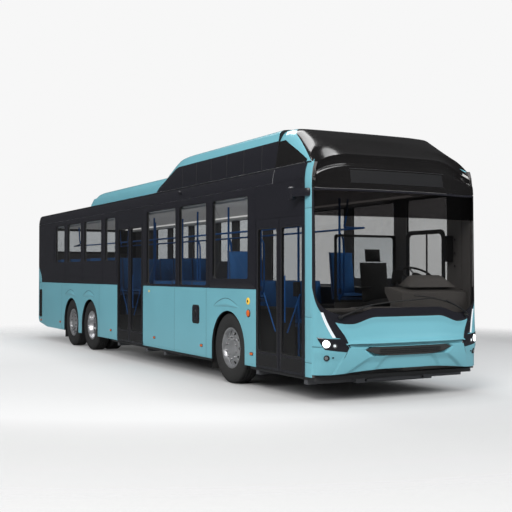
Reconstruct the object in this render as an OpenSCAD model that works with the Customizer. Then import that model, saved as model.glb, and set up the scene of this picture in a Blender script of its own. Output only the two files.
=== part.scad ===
// Three-axle low-entry electric city bus.
// +X points forward, +Y to the driver's side, +Z up. The origin is on the
// ground, midway along and across the bus. All lengths are in millimetres.

/* [Overall] */
// Length over the front and rear panels
bus_len = 13300; // [12600:50:16000]
// Width over the side panels
bus_w = 2550; // [2300:10:3060]
// Height of the roof housings above the ground
bus_h = 3500; // [3400:10:3800]
// Height of the lower edge of the side panels
skirt_z = 310; // [280:5:360]
// Height of the lower edge of the glazing
belt_z = 1365; // [1300:5:1450]
// Height of the upper edge of the glazing
band_z = 2760; // [2720:5:2800]
// Height of the roof gutter
gutter_z = 2970; // [2900:5:3050]
// Thickness of the side walls
wall = 50; // [40:1:60]
// Gap between neighbouring outer panels
seam = 6; // [4:1:10]

/* [Axles and wheels] */
// Front panel to the front axle
front_overhang = 2640; // [2560:10:2900]
// Front axle to the drive axle
wheelbase = 6430; // [5800:10:7700]
// Drive axle to the tag axle
tandem = 1300; // [1250:10:1500]
// Outer diameter of a tyre
tyre_d = 1012; // [950:1:1030]
// Width of a tyre
tyre_w = 276; // [230:1:300]
// Diameter of the rim seat
rim_d = 571; // [540:1:600]
// Width over the rim's edges
rim_w = 222; // [190:1:240]
// Outer face of a tyre, in from the side of the bus
tyre_inset = 35; // [25:1:60]
// Spacing between twin tyres, centre to centre
twin_pitch = 315; // [300:1:360]
// Kingpin axis, inboard of the wheel's middle
kingpin_inset = 152; // [140:1:170]
// Air gap between a tyre and the edge of its arch
arch_gap = 29; // [25:1:60]

/* [Doors] */
// Front panel to the front edge of the front doorway
front_door_x = 490; // [460:5:600]
// Width of the front doorway
front_door_w = 1280; // [1200:10:1300]
// Height of the front doorway's header
front_door_top = 2300; // [2200:10:2400]
// Front doorway to the front edge of the middle doorway
door_pitch = 5530; // [5300:10:7000]
// Width of the middle doorway
mid_door_w = 1340; // [1250:10:1360]
// Height of the middle doorway's header
mid_door_top = 2530; // [2400:10:2600]
// Thickness of a door leaf
leaf_t = 40; // [34:1:46]
// Gap between a leaf and the top of its doorway, and between two leaves
leaf_gap = 10; // [8:1:16]
// Gap between a leaf's hinged edge and its doorway
hinge_gap = 14; // [13:1:20]
// Radius of the post that a leaf turns on
post_r = 8; // [6:0.5:8]
// Clearance at pins, bearings and seats
seat_gap = 0.3; // [0.1:0.05:1]
// Width of the frame round a leaf's pane
leaf_rim = 55; // [45:1:80]
// Height of the closed panel at the foot of a leaf
leaf_kick = 210; // [150:5:400]

/* [Glazing] */
// Thickness of the side panes
pane_t = 8; // [6:1:10]
// Widths of the clear windows ahead of the middle doorway, back to front
fore_windows = [1280, 1020, 1130];
// Widths of the posts behind each of those windows, back to front
fore_posts = [190, 160, 230];
// Height of the clear glass's upper edge
window_top = 2655; // [2600:5:2700]
// Height of the sill of the windows ahead of the middle doorway
fore_sill = 1400; // [1390:5:1500]
// Height of the sill of the window over the front wheel
wheel_sill = 1505; // [1450:5:1600]
// Height of the sill of the windows over the raised floor
aft_sill = 1830; // [1750:5:1900]
// Widths of the panes behind the middle doorway, front to back
aft_panes = [840, 1350, 1220, 950];
// Width of the black border round a clear window behind the doorway
aft_border = 125; // [90:5:200]
// Thickness of the windscreen
screen_t = 12; // [8:1:16]
// Height of the windscreen's upper edge
screen_top = 2630; // [2580:5:2680]

/* [Front end] */
// Depth of the rounded front, from its nose to the flat side panels
nose_depth = 320; // [280:5:400]
// Rearward lean of the windscreen's upper edge
screen_lean = 215; // [150:5:260]
// Thickness of the front panels
front_t = 30; // [20:1:40]
// Height of the lower edge of the front bumper
bumper_z = 345; // [320:5:400]
// Height of the crease between the bumper and the front panel
lip_z = 690; // [660:5:720]
// Height of the front panel's crest
crest_z = 1020; // [980:5:1060]
// Depth of the front dome along the roof
dome_len = 1300; // [1200:10:1500]

/* [Roof] */
// Height of the roof's crown
roof_z = 3040; // [3020:5:3080]
// Thickness of the roof
roof_t = 60; // [50:1:80]
// Front panel to the rear end of the front housing
front_pod_end = 5600; // [5400:10:6200]
// Length of the rear housing
rear_pod_len = 3700; // [3000:10:4500]
// Height of the rear housing
rear_pod_z = 3240; // [3200:5:3300]
// Half width of the housings at their foot
pod_foot = 1190; // [1000:5:1200]

/* [Inside] */
// Height of the low floor
floor_z = 315; // [305:1:320]
// Thickness of the floor
floor_t = 50; // [40:1:60]
// Height of the raised rear floor
podium_z = 760; // [720:5:800]
// Front panel to the step up to the raised floor
podium_x = 7800; // [7700:10:9300]
// Height of the ceiling lining
ceiling_z = 2690; // [2680:5:2720]
// Width of one passenger seat
seat_w = 430; // [400:5:460]
// Height of a seat's cushion above its floor
seat_h = 440; // [400:5:480]
// Height of a seat's back above its cushion
back_h = 700; // [600:10:760]
// Distance between rows of seats on the raised floor
seat_pitch = 740; // [700:10:900]
// Diameter of the grab rails
rail_d = 34; // [28:1:40]

/* [Hidden] */

$fn = 48;
teal = "#7fbcc4";
deep_teal = "#6fb6cc";
black = "#16181a";
grey = "#8d9094";
blue = "#1d4f8c";
silver = "#b9bcc0";
rubber = "#1b1b1c";
glass = "#3a3f42";

front_x = bus_len / 2;
rear_x = -bus_len / 2;
side_y = bus_w / 2;
tyre_r = tyre_d / 2;
front_axle_x = front_x - front_overhang;
drive_axle_x = front_axle_x - wheelbase;
tag_axle_x = drive_axle_x - tandem;
wheel_y = side_y - tyre_inset - tyre_w / 2;
kingpin_y = wheel_y - kingpin_inset;
arch_r = tyre_r + arch_gap;
side_front_x = front_x - nose_depth;
rear_r = 260;
side_rear_x = rear_x + rear_r;
pillar_w = 170;

front_door_fore = front_x - front_door_x;
front_door_aft = front_door_fore - front_door_w;
mid_door_fore = front_door_fore - door_pitch;
mid_door_aft = mid_door_fore - mid_door_w;
door_sill = floor_z + 10;

// Raised floor, wheel boxes and the space kept round the wheels
podium_front = front_x - podium_x;
box_t = 20;
house_half = 620;
front_house_y = kingpin_y - 420;
rear_house_y = wheel_y - twin_pitch - tyre_w / 2 - 45;
house_top = tyre_d + 60;
inner_y = side_y - wall;

// ---------------------------------------------------------------- helpers

// Runs its child outlines, drawn in X and Z, between two heights in Y.
module across(y0, y1) {
  translate([0, y1, 0]) rotate([90, 0, 0]) linear_extrude(y1 - y0) children();
}

// Mirrors its children onto the left side when the side is 1.
module on_side(side) {
  if (side > 0) mirror([0, 1, 0]) children();
  else children();
}

module box(a, b) { translate(a) cube(b - a); }

function smooth(a, b, v) = let (k = max(0, min(1, (v - a) / (b - a)))) k * k * (3 - 2 * k);

// A rounded rectangle in two dimensions, from one corner to the other.
module soft_rect(x0, z0, x1, z1, r) {
  translate([x0 + r, z0]) square([x1 - x0 - 2 * r, z1 - z0]);
  translate([x0, z0 + r]) square([x1 - x0, z1 - z0 - 2 * r]);
  for (x = [x0 + r, x1 - r], z = [z0 + r, z1 - r]) translate([x, z]) circle(r);
}

// A closed shell between two grids of points with the same rows and columns.
module sheet(outer, inner) {
  rows = len(outer);
  cols = len(outer[0]);
  count = rows * cols;
  points = concat([for (r = outer, p = r) p], [for (r = inner, p = r) p]);
  faces = concat(
    [for (r = [0 : rows - 2], c = [0 : cols - 2], k = [0, 1])
      let (a = r * cols + c, b = a + 1, d = a + cols, e = d + 1) k == 0 ? [a, b, e] : [a, e, d]],
    [for (r = [0 : rows - 2], c = [0 : cols - 2], k = [0, 1])
      let (a = count + r * cols + c, b = a + 1, d = a + cols, e = d + 1) k == 0 ? [a, e, b] : [a, d, e]],
    [for (c = [0 : cols - 2], k = [0, 1])
      let (a = c, b = c + 1, d = a + count, e = b + count) k == 0 ? [a, d, e] : [a, e, b]],
    [for (c = [0 : cols - 2], k = [0, 1])
      let (a = count - cols + c, b = a + 1, d = a + count, e = b + count) k == 0 ? [a, b, e] : [a, e, d]],
    [for (r = [0 : rows - 2], k = [0, 1])
      let (a = r * cols, b = a + cols, d = a + count, e = b + count) k == 0 ? [a, b, e] : [a, e, d]],
    [for (r = [0 : rows - 2], k = [0, 1])
      let (a = r * cols + cols - 1, b = a + cols, d = a + count, e = b + count) k == 0 ? [a, d, e] : [a, e, b]]);
  polyhedron(points, faces, convexity = 6);
}

// ---------------------------------------------------------------- front end shape

// Rearward lean of the nose at height z.
function lean(z) =
  z < lip_z ? 55 * pow((lip_z - z) / (lip_z - bumper_z), 2)
  : z < crest_z ? 60 * smooth(lip_z, crest_z + 60, z)
  : 60 * smooth(lip_z, crest_z + 60, crest_z) + (screen_lean - 60) * (z - crest_z) / (screen_top - crest_z);

// A point of the front at height z and sweep angle t, -90 on the right side
// and 90 on the left: a rounded plan, leaning back, inset by d.
function nose(t, z, d = 0) =
  let (s = abs(sin(t)), side = t < 0 ? -1 : 1)
  [front_x - d - lean(z) * (1 - pow(s, 10)) - (nose_depth - d) * (1 - cos(t)),
   side * (side_y - d) * pow(s, 0.8), z];

// The same front cut into a sheet between two edges given as functions of t.
module nose_sheet(low, high, rows, t0, t1, cols, thick) {
  function grid(d) = [for (r = [0 : rows]) [for (c = [0 : cols])
    let (t = t0 + (t1 - t0) * c / cols, z = low(t) + (high(t) - low(t)) * r / rows) nose(t, z, d)]];
  sheet(grid(0), grid(thick));
}

// Upper edge of the painted front panel: a crest, a dip to each side and a
// rise into the pillars.
panel_top = function(t) let (s = abs(t))
  crest_z + 23 - 83 * smooth(17, 36, s) + 440 * pow(max(0, s - 36) / 53, 2.2);

// ---------------------------------------------------------------- side walls

// Doorways of the right side, as outlines in X and Z.
module doorways() {
  translate([front_door_aft, 0]) square([front_door_w, front_door_top]);
  translate([mid_door_aft, 0]) square([mid_door_w, mid_door_top]);
}

module arches(r = arch_r) {
  for (x = [front_axle_x, drive_axle_x, tag_axle_x]) {
    translate([x, tyre_r]) circle(r, $fn = 96);
    translate([x - r, 0]) square([2 * r, skirt_z - 60]);
  }
}

tail_x = side_rear_x + 700;
tail_z = skirt_z + 105;

// Lower side panel, with its tail swept up behind the last wheel.
module skirt_outline() {
  polygon([[side_front_x - pillar_w, skirt_z], [tail_x, skirt_z], [side_rear_x, tail_z - 20],
    [side_rear_x, belt_z], [side_front_x - pillar_w, belt_z]]);
}

module skirt(side) {
  color(teal) on_side(side) difference() {
    across(-side_y, -side_y + wall) difference() {
      skirt_outline();
      arches();
      if (side < 0) doorways();
    }
    if (side < 0) across(-side_y - 1, -side_y + 30)
      soft_rect(charge_x - 130, 810, charge_x + 130, 1090, 30);
  }
}

charge_x = front_x - 3750;

module side_skirts() { for (side = [-1, 1]) skirt(side); }

// Clear windows ahead of the middle doorway as [back edge, width, sill].
function fore_x(i) = i == 0 ? mid_door_fore + fore_posts[0] : fore_x(i - 1) + fore_windows[i - 1] + fore_posts[i];
fore_list = [for (i = [0 : 2]) [fore_x(i), fore_windows[i], i < 2 ? fore_sill : wheel_sill]];

// Edges of the panes behind the middle doorway, front to back.
function aft_edge(i) = i == 0 ? mid_door_aft : aft_edge(i - 1) - aft_panes[i - 1];
aft_list = [for (i = [0 : len(aft_panes) - 1])
  [aft_edge(i + 1) + aft_border, aft_panes[i] - 2 * aft_border, aft_sill]];

left_extra = [[mid_door_aft + 150, mid_door_w - 300, aft_sill],
  [front_door_aft + 60, 920, fore_sill - 120]];

module window_holes(side) {
  list = side < 0 ? concat(fore_list, aft_list) : concat(fore_list, aft_list, left_extra);
  for (w = list) soft_rect(w[0], w[2], w[0] + w[1], window_top, 45);
}

module band_outline(low = belt_z) {
  polygon([[side_front_x - pillar_w, low], [side_rear_x, low], [side_rear_x, band_z],
    [side_front_x - pillar_w, band_z]]);
}

module window_frame(side) {
  color(black) on_side(side) across(-side_y + pane_t, -side_y + wall) difference() {
    band_outline();
    window_holes(side);
    if (side < 0) doorways();
  }
}

module window_frames() { for (side = [-1, 1]) window_frame(side); }

// Panes bonded to the outside of the frame, with a seam between neighbours.
pane_edges_fore = [mid_door_fore, fore_list[1][0] - fore_posts[1] / 2,
  fore_list[2][0] - fore_posts[2] / 2, front_door_aft];

module pane(x0, x1, z0, z1) {
  translate([x0 + seam / 2, z0 + seam / 2]) square([x1 - x0 - seam, z1 - z0 - seam]);
}

module side_panes(side) {
  color(glass) on_side(side) across(-side_y, -side_y + pane_t) {
    for (i = [0 : 2]) pane(pane_edges_fore[i], pane_edges_fore[i + 1], belt_z, band_z);
    for (i = [0 : len(aft_panes) - 1]) pane(aft_edge(i + 1), aft_edge(i), belt_z, band_z);
    pane(side_rear_x, aft_edge(len(aft_panes)), belt_z, band_z);
    if (side > 0) {
      pane(mid_door_aft, mid_door_fore, belt_z, band_z);
      pane(front_door_aft, side_front_x - pillar_w, belt_z, band_z);
    }
  }
}

module side_glass() { for (side = [-1, 1]) side_panes(side); }

// Painted pillars between the doorway and the rounded front.
module corner_pillars() {
  color(teal) for (side = [-1, 1]) on_side(side)
    across(-side_y, -side_y + wall)
      translate([side_front_x - pillar_w + seam, skirt_z]) square([pillar_w - seam, band_z - skirt_z - seam]);
}

// ---------------------------------------------------------------- roof

// Half of the roof's cross-section as points from the glazing to the crown.
function roof_line(d) = [
  [side_y - d, band_z],
  [side_y - 14 - d, band_z + 110],
  [side_y - 40 - d, gutter_z - 20],
  [side_y - 75 - d, gutter_z + 10 - d * 0.6],
  [side_y - 300 - d, roof_z - 30 - d],
  [side_y - 700, roof_z - d]];

// The roof's cross-section, closed along its lower edge and inset by d.
module roof_section(d) {
  half = roof_line(d);
  n = len(half);
  polygon(concat([[half[0][0], band_z - (d > 0 ? 1 : 0)]], half,
    [for (i = [n - 1 : -1 : 0]) [-half[i][0], half[i][1]]], [[-half[0][0], band_z - (d > 0 ? 1 : 0)]]));
}

// Runs an outline drawn in Y and Z along X.
module along(x0, x1) {
  translate([x0, 0, 0]) rotate([90, 0, 90]) linear_extrude(x1 - x0) children();
}

roof_front = front_x - 400;
dome_rear = front_x - dome_len;

// The roof's shell. Beside the dome only its coves go on to the front.
module roof() {
  color(deep_teal) difference() {
    intersection() {
      difference() {
        along(rear_x, roof_front) roof_section(0);
        along(rear_x + wall, roof_front + 1) roof_section(roof_t);
      }
      translate([0, 0, band_z - 10]) linear_extrude(500) union() {
        translate([side_rear_x, -side_y]) square([roof_front - side_rear_x, bus_w]);
        rear_plan(0);
      }
    }
    box([dome_rear - seat_gap, -side_y, gutter_z - seat_gap], [front_x, side_y, bus_h]);
    box([dome_rear - seat_gap, -side_y + 110, band_z - 20], [front_x, side_y - 110, bus_h]);
  }
}

// Cross-section of a roof housing that stands on the roof.
module pod_section(top, foot) {
  shoulder = foot - 60;
  polygon([[-foot, gutter_z + 20], [foot, gutter_z + 20], [foot - 12, top - 170],
    [shoulder, top - 45], [shoulder - 110, top - 12], [0, top],
    [-shoulder + 110, top - 12], [-shoulder, top - 45], [-foot + 12, top - 170]]);
}

// Everything under the roof's outer skin.
module roof_void() {
  along(rear_x, front_x) {
    roof_section(-0.3);
    translate([-side_y, 0]) square([bus_w, band_z + 1]);
  }
}

pod_rear = front_x - front_pod_end;

module front_pod() {
  color(black) difference() {
    intersection() {
      along(pod_rear, dome_rear - seam) pod_section(bus_h, pod_foot);
      across(-side_y, side_y) polygon([[pod_rear, gutter_z], [pod_rear + 60, gutter_z + 30],
        [pod_rear + 770, bus_h - 120], [pod_rear + 1000, bus_h - 50], [pod_rear + 1200, bus_h],
        [dome_rear, bus_h], [dome_rear, gutter_z]]);
    }
    roof_void();
    battery_space(20);
  }
}

battery_x = pod_rear + 1300;
battery_len = 2300;
module battery_space(grow) {
  box([battery_x - grow, -900 - grow, roof_z + seat_gap - grow],
      [battery_x + battery_len + grow, 900 + grow, bus_h - 110 + grow]);
}

module battery_pack() {
  color(grey) battery_space(0);
}

module rear_pod() {
  color(deep_teal) difference() {
    intersection() {
      along(pod_rear - rear_pod_len, pod_rear + 700) pod_section(rear_pod_z, pod_foot - 20);
      across(-side_y, side_y) polygon([[pod_rear - rear_pod_len, gutter_z],
        [pod_rear - rear_pod_len + 420, rear_pod_z - 40], [pod_rear - rear_pod_len + 700, rear_pod_z],
        [pod_rear + 400, rear_pod_z], [pod_rear - 10, gutter_z]]);
    }
    roof_void();
  }
}

// ---------------------------------------------------------------- front end

// Rows of the dome from the windscreen's edge up and back to the housing, as
// [distance behind the nose at the middle, height, distance at the sides,
// share of the nose's own plan].
dome_rows = [
  [screen_lean, screen_top + seam, nose_depth, 1],
  [screen_lean + 30, screen_top + 150, nose_depth, 0.7],
  [screen_lean + 90, screen_top + 290, nose_depth + 40, 0.4],
  [screen_lean + 210, gutter_z + 90, nose_depth + 70, 0.15],
  [screen_lean + 560, bus_h - 150, dome_len - 450, 0],
  [screen_lean + 760, bus_h - 45, dome_len - 310, 0],
  [screen_lean + 900, bus_h - 8, dome_len - 100, 0],
  [dome_len, bus_h, dome_len, 0]];

// A point of row k of the dome at sweep angle t, inset by d: the row's middle
// stands at its height and its ends come down to the gutter.
function dome_point(k, t, d) =
  let (row = dome_rows[k], s = abs(sin(t)), side = t < 0 ? -1 : 1,
    top = row[1] - d * min(1, k / 4),
    foot = min(top, gutter_z),
    half = side_y - 40 * smooth(0, 3, k) - d,
    round = row[0] * (1 - pow(s, 10)) + nose_depth * (1 - cos(t)),
    plain = row[0] + (row[2] - row[0]) * (1 - cos(t)))
  [front_x - row[3] * round - (1 - row[3]) * plain - d * cos(t) * (1 - k / 7),
   side * half * pow(s, 0.8), top - (top - foot) * pow(s, 14)];

module front_dome() {
  cols = 36;
  color(black) sheet(
    [for (k = [0 : 7]) [for (c = [0 : cols]) dome_point(k, -90 + 180 * c / cols, 0)]],
    [for (k = [0 : 7]) [for (c = [0 : cols]) dome_point(k, -90 + 180 * c / cols, 25)]]);
}

module windscreen() {
  color(glass) nose_sheet(function(t) panel_top(t) + seam, function(t) screen_top,
    8, -88, 88, 44, screen_t);
}

module front_panel() {
  color(teal) nose_sheet(function(t) lip_z + seam, panel_top, 4, -90, 90, 44, front_t);
}

module front_bumper() {
  color(teal) nose_sheet(function(t) bumper_z + 50 * (1 - smooth(10, 60, abs(t))) , function(t) lip_z,
    3, -90, 90, 44, front_t);
}

module headlamps() {
  color(silver) for (side = [-1, 1]) nose_lamp(side);
}

// A lamp lens lying on the corner, a little proud of the panel.
module nose_lamp(side) {
  sheet([for (r = [0 : 3]) [for (c = [0 : 8]) lamp_point(side, c / 8, r / 3, -10)]],
        [for (r = [0 : 3]) [for (c = [0 : 8]) lamp_point(side, c / 8, r / 3, -1.2)]]);
}

function lamp_point(side, u, v, d) =
  let (t = side < 0 ? -42 - 34 * (1 - u) : 42 + 34 * u, a = side < 0 ? u : 1 - u,
    low = 700 - 120 * a, high = 790 - 175 * a)
  nose(t, low + (high - low + 12) * v, d);

// Each wiper follows the glass from its pivot to its tip.
module wipers() {
  sweep = [56, 44, 32, 20, 8];
  function spot(side, i) = nose(side * sweep[i], crest_z + 40 + 22 * i, -30);
  color(black) for (side = [-1, 1]) {
    for (i = [0 : 3]) hull() {
      translate(spot(side, i)) sphere(13 - i, $fn = 12);
      translate(spot(side, i + 1)) sphere(12 - i, $fn = 12);
    }
    translate(nose(side * sweep[0], crest_z + 40, -2.2)) rotate([0, 90, side * 24]) cylinder(h = 24, r = 16);
  }
}

// Camera arms swept back and out from the top of the pillars.
module mirror_cameras() {
  x = side_front_x - 30;
  color(black) for (side = [-1, 1]) on_side(side) translate([0, 0, 2500]) linear_extrude(130)
    polygon([[x, -side_y], [x - 30, -side_y - 30], [x - 280, -side_y - 150], [x - 320, -side_y - 150],
      [x - 320, -side_y - 70], [x - 120, -side_y]]);
}

// ---------------------------------------------------------------- rear end

// Plan outline of the rounded rear, inset by d.
module rear_plan(d) {
  difference() {
    union() {
      translate([rear_x + d, -side_y + rear_r]) square([rear_r - d, 2 * (side_y - rear_r)]);
      for (y = [-1, 1]) translate([rear_x + rear_r, y * (side_y - rear_r)]) circle(rear_r - d);
    }
    translate([side_rear_x, -side_y - 1]) square([400, bus_w + 2]);
  }
}

hatch_half = 840;
hatch_low = 640;
hatch_high = 1640;

module rear_wall() {
  color(teal) difference() {
    translate([0, 0, tail_z + 190 + seam]) linear_extrude(band_z - tail_z - 190 - seam) difference() {
      rear_plan(0);
      rear_plan(wall);
    }
    box([rear_x - 1, -hatch_half, hatch_low], [rear_x + wall + 1, hatch_half, hatch_high]);
    tail_lamp_discs(rear_x - 1, 13, lamp_r + seat_gap);
  }
}

hinge_z = hatch_high - leaf_gap;
barrel_r = leaf_gap - seat_gap;

// The lid hangs from barrels along its upper outer edge.
module rear_hatch() {
  color(teal) {
    box([rear_x + leaf_gap, -hatch_half + leaf_gap, hatch_low + leaf_gap],
      [rear_x + leaf_gap + leaf_t, hatch_half - leaf_gap, hinge_z]);
    for (y = [-hatch_half + 120, hatch_half - 320])
      translate([rear_x + leaf_gap, y + 200, hinge_z]) rotate([90, 0, 0]) cylinder(h = 200, r = barrel_r);
  }
}

module rear_bumper() {
  color(teal) translate([0, 0, tail_z]) linear_extrude(190) difference() {
    rear_plan(0);
    rear_plan(wall);
  }
}

lamp_r = 62;
module tail_lamp_discs(x, depth, r) {
  for (y = [-945, 945], z = [900, 1080, 1260]) translate([x, y, z]) rotate([0, 90, 0]) cylinder(h = depth, r = r);
}

module tail_lamps() { color("#9c1c1c") tail_lamp_discs(rear_x, 12 - seat_gap, lamp_r); }

// ---------------------------------------------------------------- chassis and inside

rail_y = 450;
rail_half = 40;
low_top = floor_z - floor_t;
low_under = low_top - 60;
high_top = podium_z - floor_t;
high_under = high_top - 100;
front_beam_x = front_x - 440;
rear_beam_x = rear_x + 300;

// Two rails: low under the entrances, stepped up under the raised floor and
// turned down behind to carry the rear beam.
module chassis_rails() {
  color(grey) for (y = [-rail_y, rail_y]) across(y - rail_half, y + rail_half) polygon([
    [front_beam_x, low_under], [front_beam_x, low_top], [podium_front - 20, low_top],
    [podium_front - 20, high_top], [rear_beam_x + 30, high_top], [rear_beam_x + 30, tail_z + 120],
    [rear_beam_x + 110, tail_z + 120], [rear_beam_x + 110, high_under], [podium_front - 100, high_under],
    [podium_front - 100, low_under]]);
}

// A cross member at x: one bar between the rails and one outrigger each side.
module cross_bar(x, z0, z1) {
  box([x - 40, -rail_y + rail_half, z0], [x + 40, rail_y - rail_half, z1]);
  for (side = [-1, 1]) on_side(side)
    box([x - 40, -inner_y, z0], [x + 40, -rail_y - rail_half, z1]);
}

module cross_members() {
  color(grey) difference() {
    union() {
      for (x = [front_door_fore - 60, front_door_aft - 40, mid_door_fore + 900, mid_door_fore + 60, mid_door_aft - 60])
        cross_bar(x, low_under, low_top);
      for (x = [tag_axle_x - 900, rear_beam_x + 200]) cross_bar(x, high_under + 20, high_top);
      box([motor_bar_x - 60, -rail_y + rail_half, motor_top], [motor_bar_x + 60, rail_y - rail_half, high_top]);
      box([front_beam_x, -600, low_under], [front_beam_x + 80, 600, low_top]);
      box([rear_beam_x, -600, rear_tow_z - 40], [rear_beam_x + 80, 600, tail_z + 120]);
    }
    for (y = [-rail_y, rail_y]) translate([front_beam_x - 1, y, tow_z]) rotate([0, 90, 0]) cylinder(h = 82, r = tow_r);
    translate([rear_beam_x - 1, 0, rear_tow_z]) rotate([0, 90, 0]) cylinder(h = 82, r = tow_r);
  }
}

tow_r = 16;
tow_z = low_under + 30;
rear_tow_z = tail_z - 35;

// Space kept round the wheels of an axle or axles on one side, grown by g.
module wheel_space(x0, x1, y, g, z0) {
  box([x0 - house_half - g, -inner_y - (g > 0 ? 0 : 1), z0], [x1 + house_half + g, -y + g, house_top + g]);
}

module wheel_spaces(g, under) {
  for (side = [-1, 1]) on_side(side) {
    wheel_space(front_axle_x, front_axle_x, front_house_y, g, low_top - under);
    wheel_space(tag_axle_x, drive_axle_x, rear_house_y, g, high_top - under);
  }
}

// Four boxes over the wheels, open below and to the side.
module wheel_boxes() {
  color(grey) difference() {
    wheel_spaces(box_t, 0);
    wheel_spaces(0, 1);
  }
}

module low_floor() {
  color(grey) difference() {
    box([podium_front, -inner_y, low_top], [side_front_x, inner_y, floor_z]);
    wheel_spaces(box_t, 1);
  }
}

// The raised floor and its riser.
module raised_floor() {
  color(grey) difference() {
    union() {
      box([rear_beam_x, -inner_y, high_top], [podium_front, inner_y, podium_z]);
      box([podium_front - 20, -inner_y, floor_z + seat_gap], [podium_front, inner_y, podium_z]);
    }
    wheel_spaces(box_t, 1);
  }
}

module ceiling() {
  color(grey) box([side_rear_x, -inner_y + 10, ceiling_z], [side_front_x - pillar_w, inner_y - 10, ceiling_z + 20]);
}

// Profile of a seat's shell in X and Z, its front at +X.
module seat_profile() {
  polygon([[230, seat_h], [230, seat_h - 40], [-210, seat_h - 40], [shell_front(back_h) - 30, seat_h + back_h],
    [shell_front(back_h), seat_h + back_h], [shell_front(0), seat_h]]);
}

// Front face of the shell's back at height h above the cushion.
function shell_front(h) = -180 - 90 * h / back_h;
pad_t = 55;

// A row of seats, its foot standing on what lies under it.
module seat_shell(x, y, z, count, foot) {
  half = count * seat_w / 2;
  translate([x, y, z]) across(-half + 10, half - 10) seat_profile();
  box([x - 150, y - 60, foot], [x + 150, y + 60, z + seat_h - 38]);
}

// A cushion on the shell and a second one against its back.
module seat_pad(x, y, z) {
  top = back_h - 10;
  over = pad_t + seat_gap;
  translate([x, y, z + seat_h]) across(-seat_w / 2 + 18, seat_w / 2 - 18) {
    polygon([[225, seat_gap], [225, pad_t], [shell_front(pad_t) + 1, pad_t], [shell_front(0) + 1, seat_gap]]);
    polygon([[shell_front(over) + pad_t, over], [shell_front(top) + pad_t, top],
      [shell_front(top) + seat_gap, top], [shell_front(over) + seat_gap, over]]);
  }
}

pair_y = inner_y - 20 - seat_w;
low_pitch = 800;
bench_x = rear_x + 700;
box_seat_drop = seat_h - 120;
function on_box(x) = x - 170 < drive_axle_x + house_half + box_t && x + 170 > tag_axle_x - house_half - box_t;

// Every row as [x, y, height it is set out from, places, height of its foot].
seat_rows = concat(
  [for (i = [0 : 2], s = [-1, 1]) [mid_door_fore + 620 + i * low_pitch, s * pair_y, floor_z, 2, floor_z]],
  [for (i = [0 : 5], s = [-1, 1]) let (x = podium_front - 420 - i * seat_pitch)
    [x, s * pair_y, podium_z, 2, on_box(x) ? house_top + box_t : podium_z]],
  [[bench_x, 0, podium_z, 5, podium_z]],
  [for (s = [-1, 1]) [front_axle_x - 60, s * (inner_y - 330), house_top + box_t - box_seat_drop, 1,
    house_top + box_t]]);

module seat_frames() {
  color(grey) for (r = seat_rows) seat_shell(r[0], r[1], r[2], r[3], r[4]);
}

module seat_pads() {
  color(blue) for (r = seat_rows, k = [0 : r[3] - 1])
    seat_pad(r[0], r[1] + (k - (r[3] - 1) / 2) * seat_w, r[2]);
}

driver_x = front_x - 1500;
driver_y = side_y - 575;
cab_z = floor_z + 380;
cab_x = front_axle_x + house_half + box_t;

// The driver's seat on its raised platform.
module driver_seat() {
  color(black) translate([driver_x, driver_y, cab_z]) {
    box([-200, -200, 0], [200, 200, 330]);
    across(-250, 250) polygon([[270, 330], [270, 450], [-160, 450], [-240, 1020], [-220, 1240], [-310, 1240],
      [-350, 1020], [-290, 330]]);
  }
}

// Platform and instrument panel in one moulding.
module dashboard() {
  color(black) {
    box([cab_x + 30, 140, floor_z], [side_front_x - 60, inner_y - 1, cab_z]);
    across(140, inner_y - 1) polygon([[side_front_x - 60, cab_z], [side_front_x - 60, dash_top - 70],
      [side_front_x - 330, dash_top], [side_front_x - 450, dash_top], [side_front_x - 450, dash_top - 70],
      [side_front_x - 330, 1180], [side_front_x - 330, cab_z]]);
  }
}

wheel_tilt = 28;
dash_top = 1400;

// Wheel and column, the column ending on top of the instrument panel.
module steering_wheel() {
  color(black) difference() {
    translate([driver_x + 720, driver_y, 1560]) rotate([0, -wheel_tilt, 0]) {
      rotate_extrude() translate([215, 0]) circle(15);
      for (a = [90, 210, 330]) rotate([0, 90, a]) translate([0, 0, 30]) cylinder(h = 175, r = 13);
      translate([0, 0, -28]) cylinder(h = 48, r = 55);
      translate([0, 0, -230]) cylinder(h = 220, r = 32);
    }
    box([driver_x + 500, driver_y - 200, dash_top - 300], [driver_x + 1000, driver_y + 200, dash_top + seat_gap]);
  }
}

module cab_partition() {
  color(grey) box([cab_x, 140, floor_z + seat_gap], [cab_x + 30 - seat_gap, inner_y, 2150]);
}

pole_y = 310;
low_poles = [mid_door_fore + 230, mid_door_fore + 1480, front_door_aft - 340];
raised_poles = [for (i = [0 : 2]) podium_front - 90 - 2 * i * seat_pitch];

// Poles from floor to ceiling beside the gangway.
module handrails() {
  color(blue) for (y = [-pole_y, pole_y]) {
    for (x = low_poles) translate([x, y, floor_z]) cylinder(h = ceiling_z - floor_z, d = rail_d);
    for (x = raised_poles) translate([x, y, podium_z]) cylinder(h = ceiling_z - podium_z, d = rail_d);
  }
}

// ---------------------------------------------------------------- door leaves

// A glazed leaf between x0 and x1. It turns on a post along its inner edge at
// x0 when the side is -1, or at x1 when it is 1.
module leaf(x0, x1, top, post) {
  color(black) difference() {
    across(-side_y, -side_y + leaf_t) translate([x0, door_sill]) square([x1 - x0, top - door_sill]);
    across(-side_y - 1, -side_y + leaf_t + 1)
      soft_rect(x0 + leaf_rim, door_sill + leaf_kick, x1 - leaf_rim, top - leaf_rim * 1.5, 30);
  }
  color(black) translate([post < 0 ? x0 : x1, -side_y + leaf_t, floor_z + seat_gap])
    cylinder(h = top + leaf_gap - floor_z - 2 * seat_gap, r = post_r);
  color(glass) across(-side_y + 12, -side_y + 20) soft_rect(x0 + leaf_rim, door_sill + leaf_kick,
    x1 - leaf_rim, top - leaf_rim * 1.5, 30);
}

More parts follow.
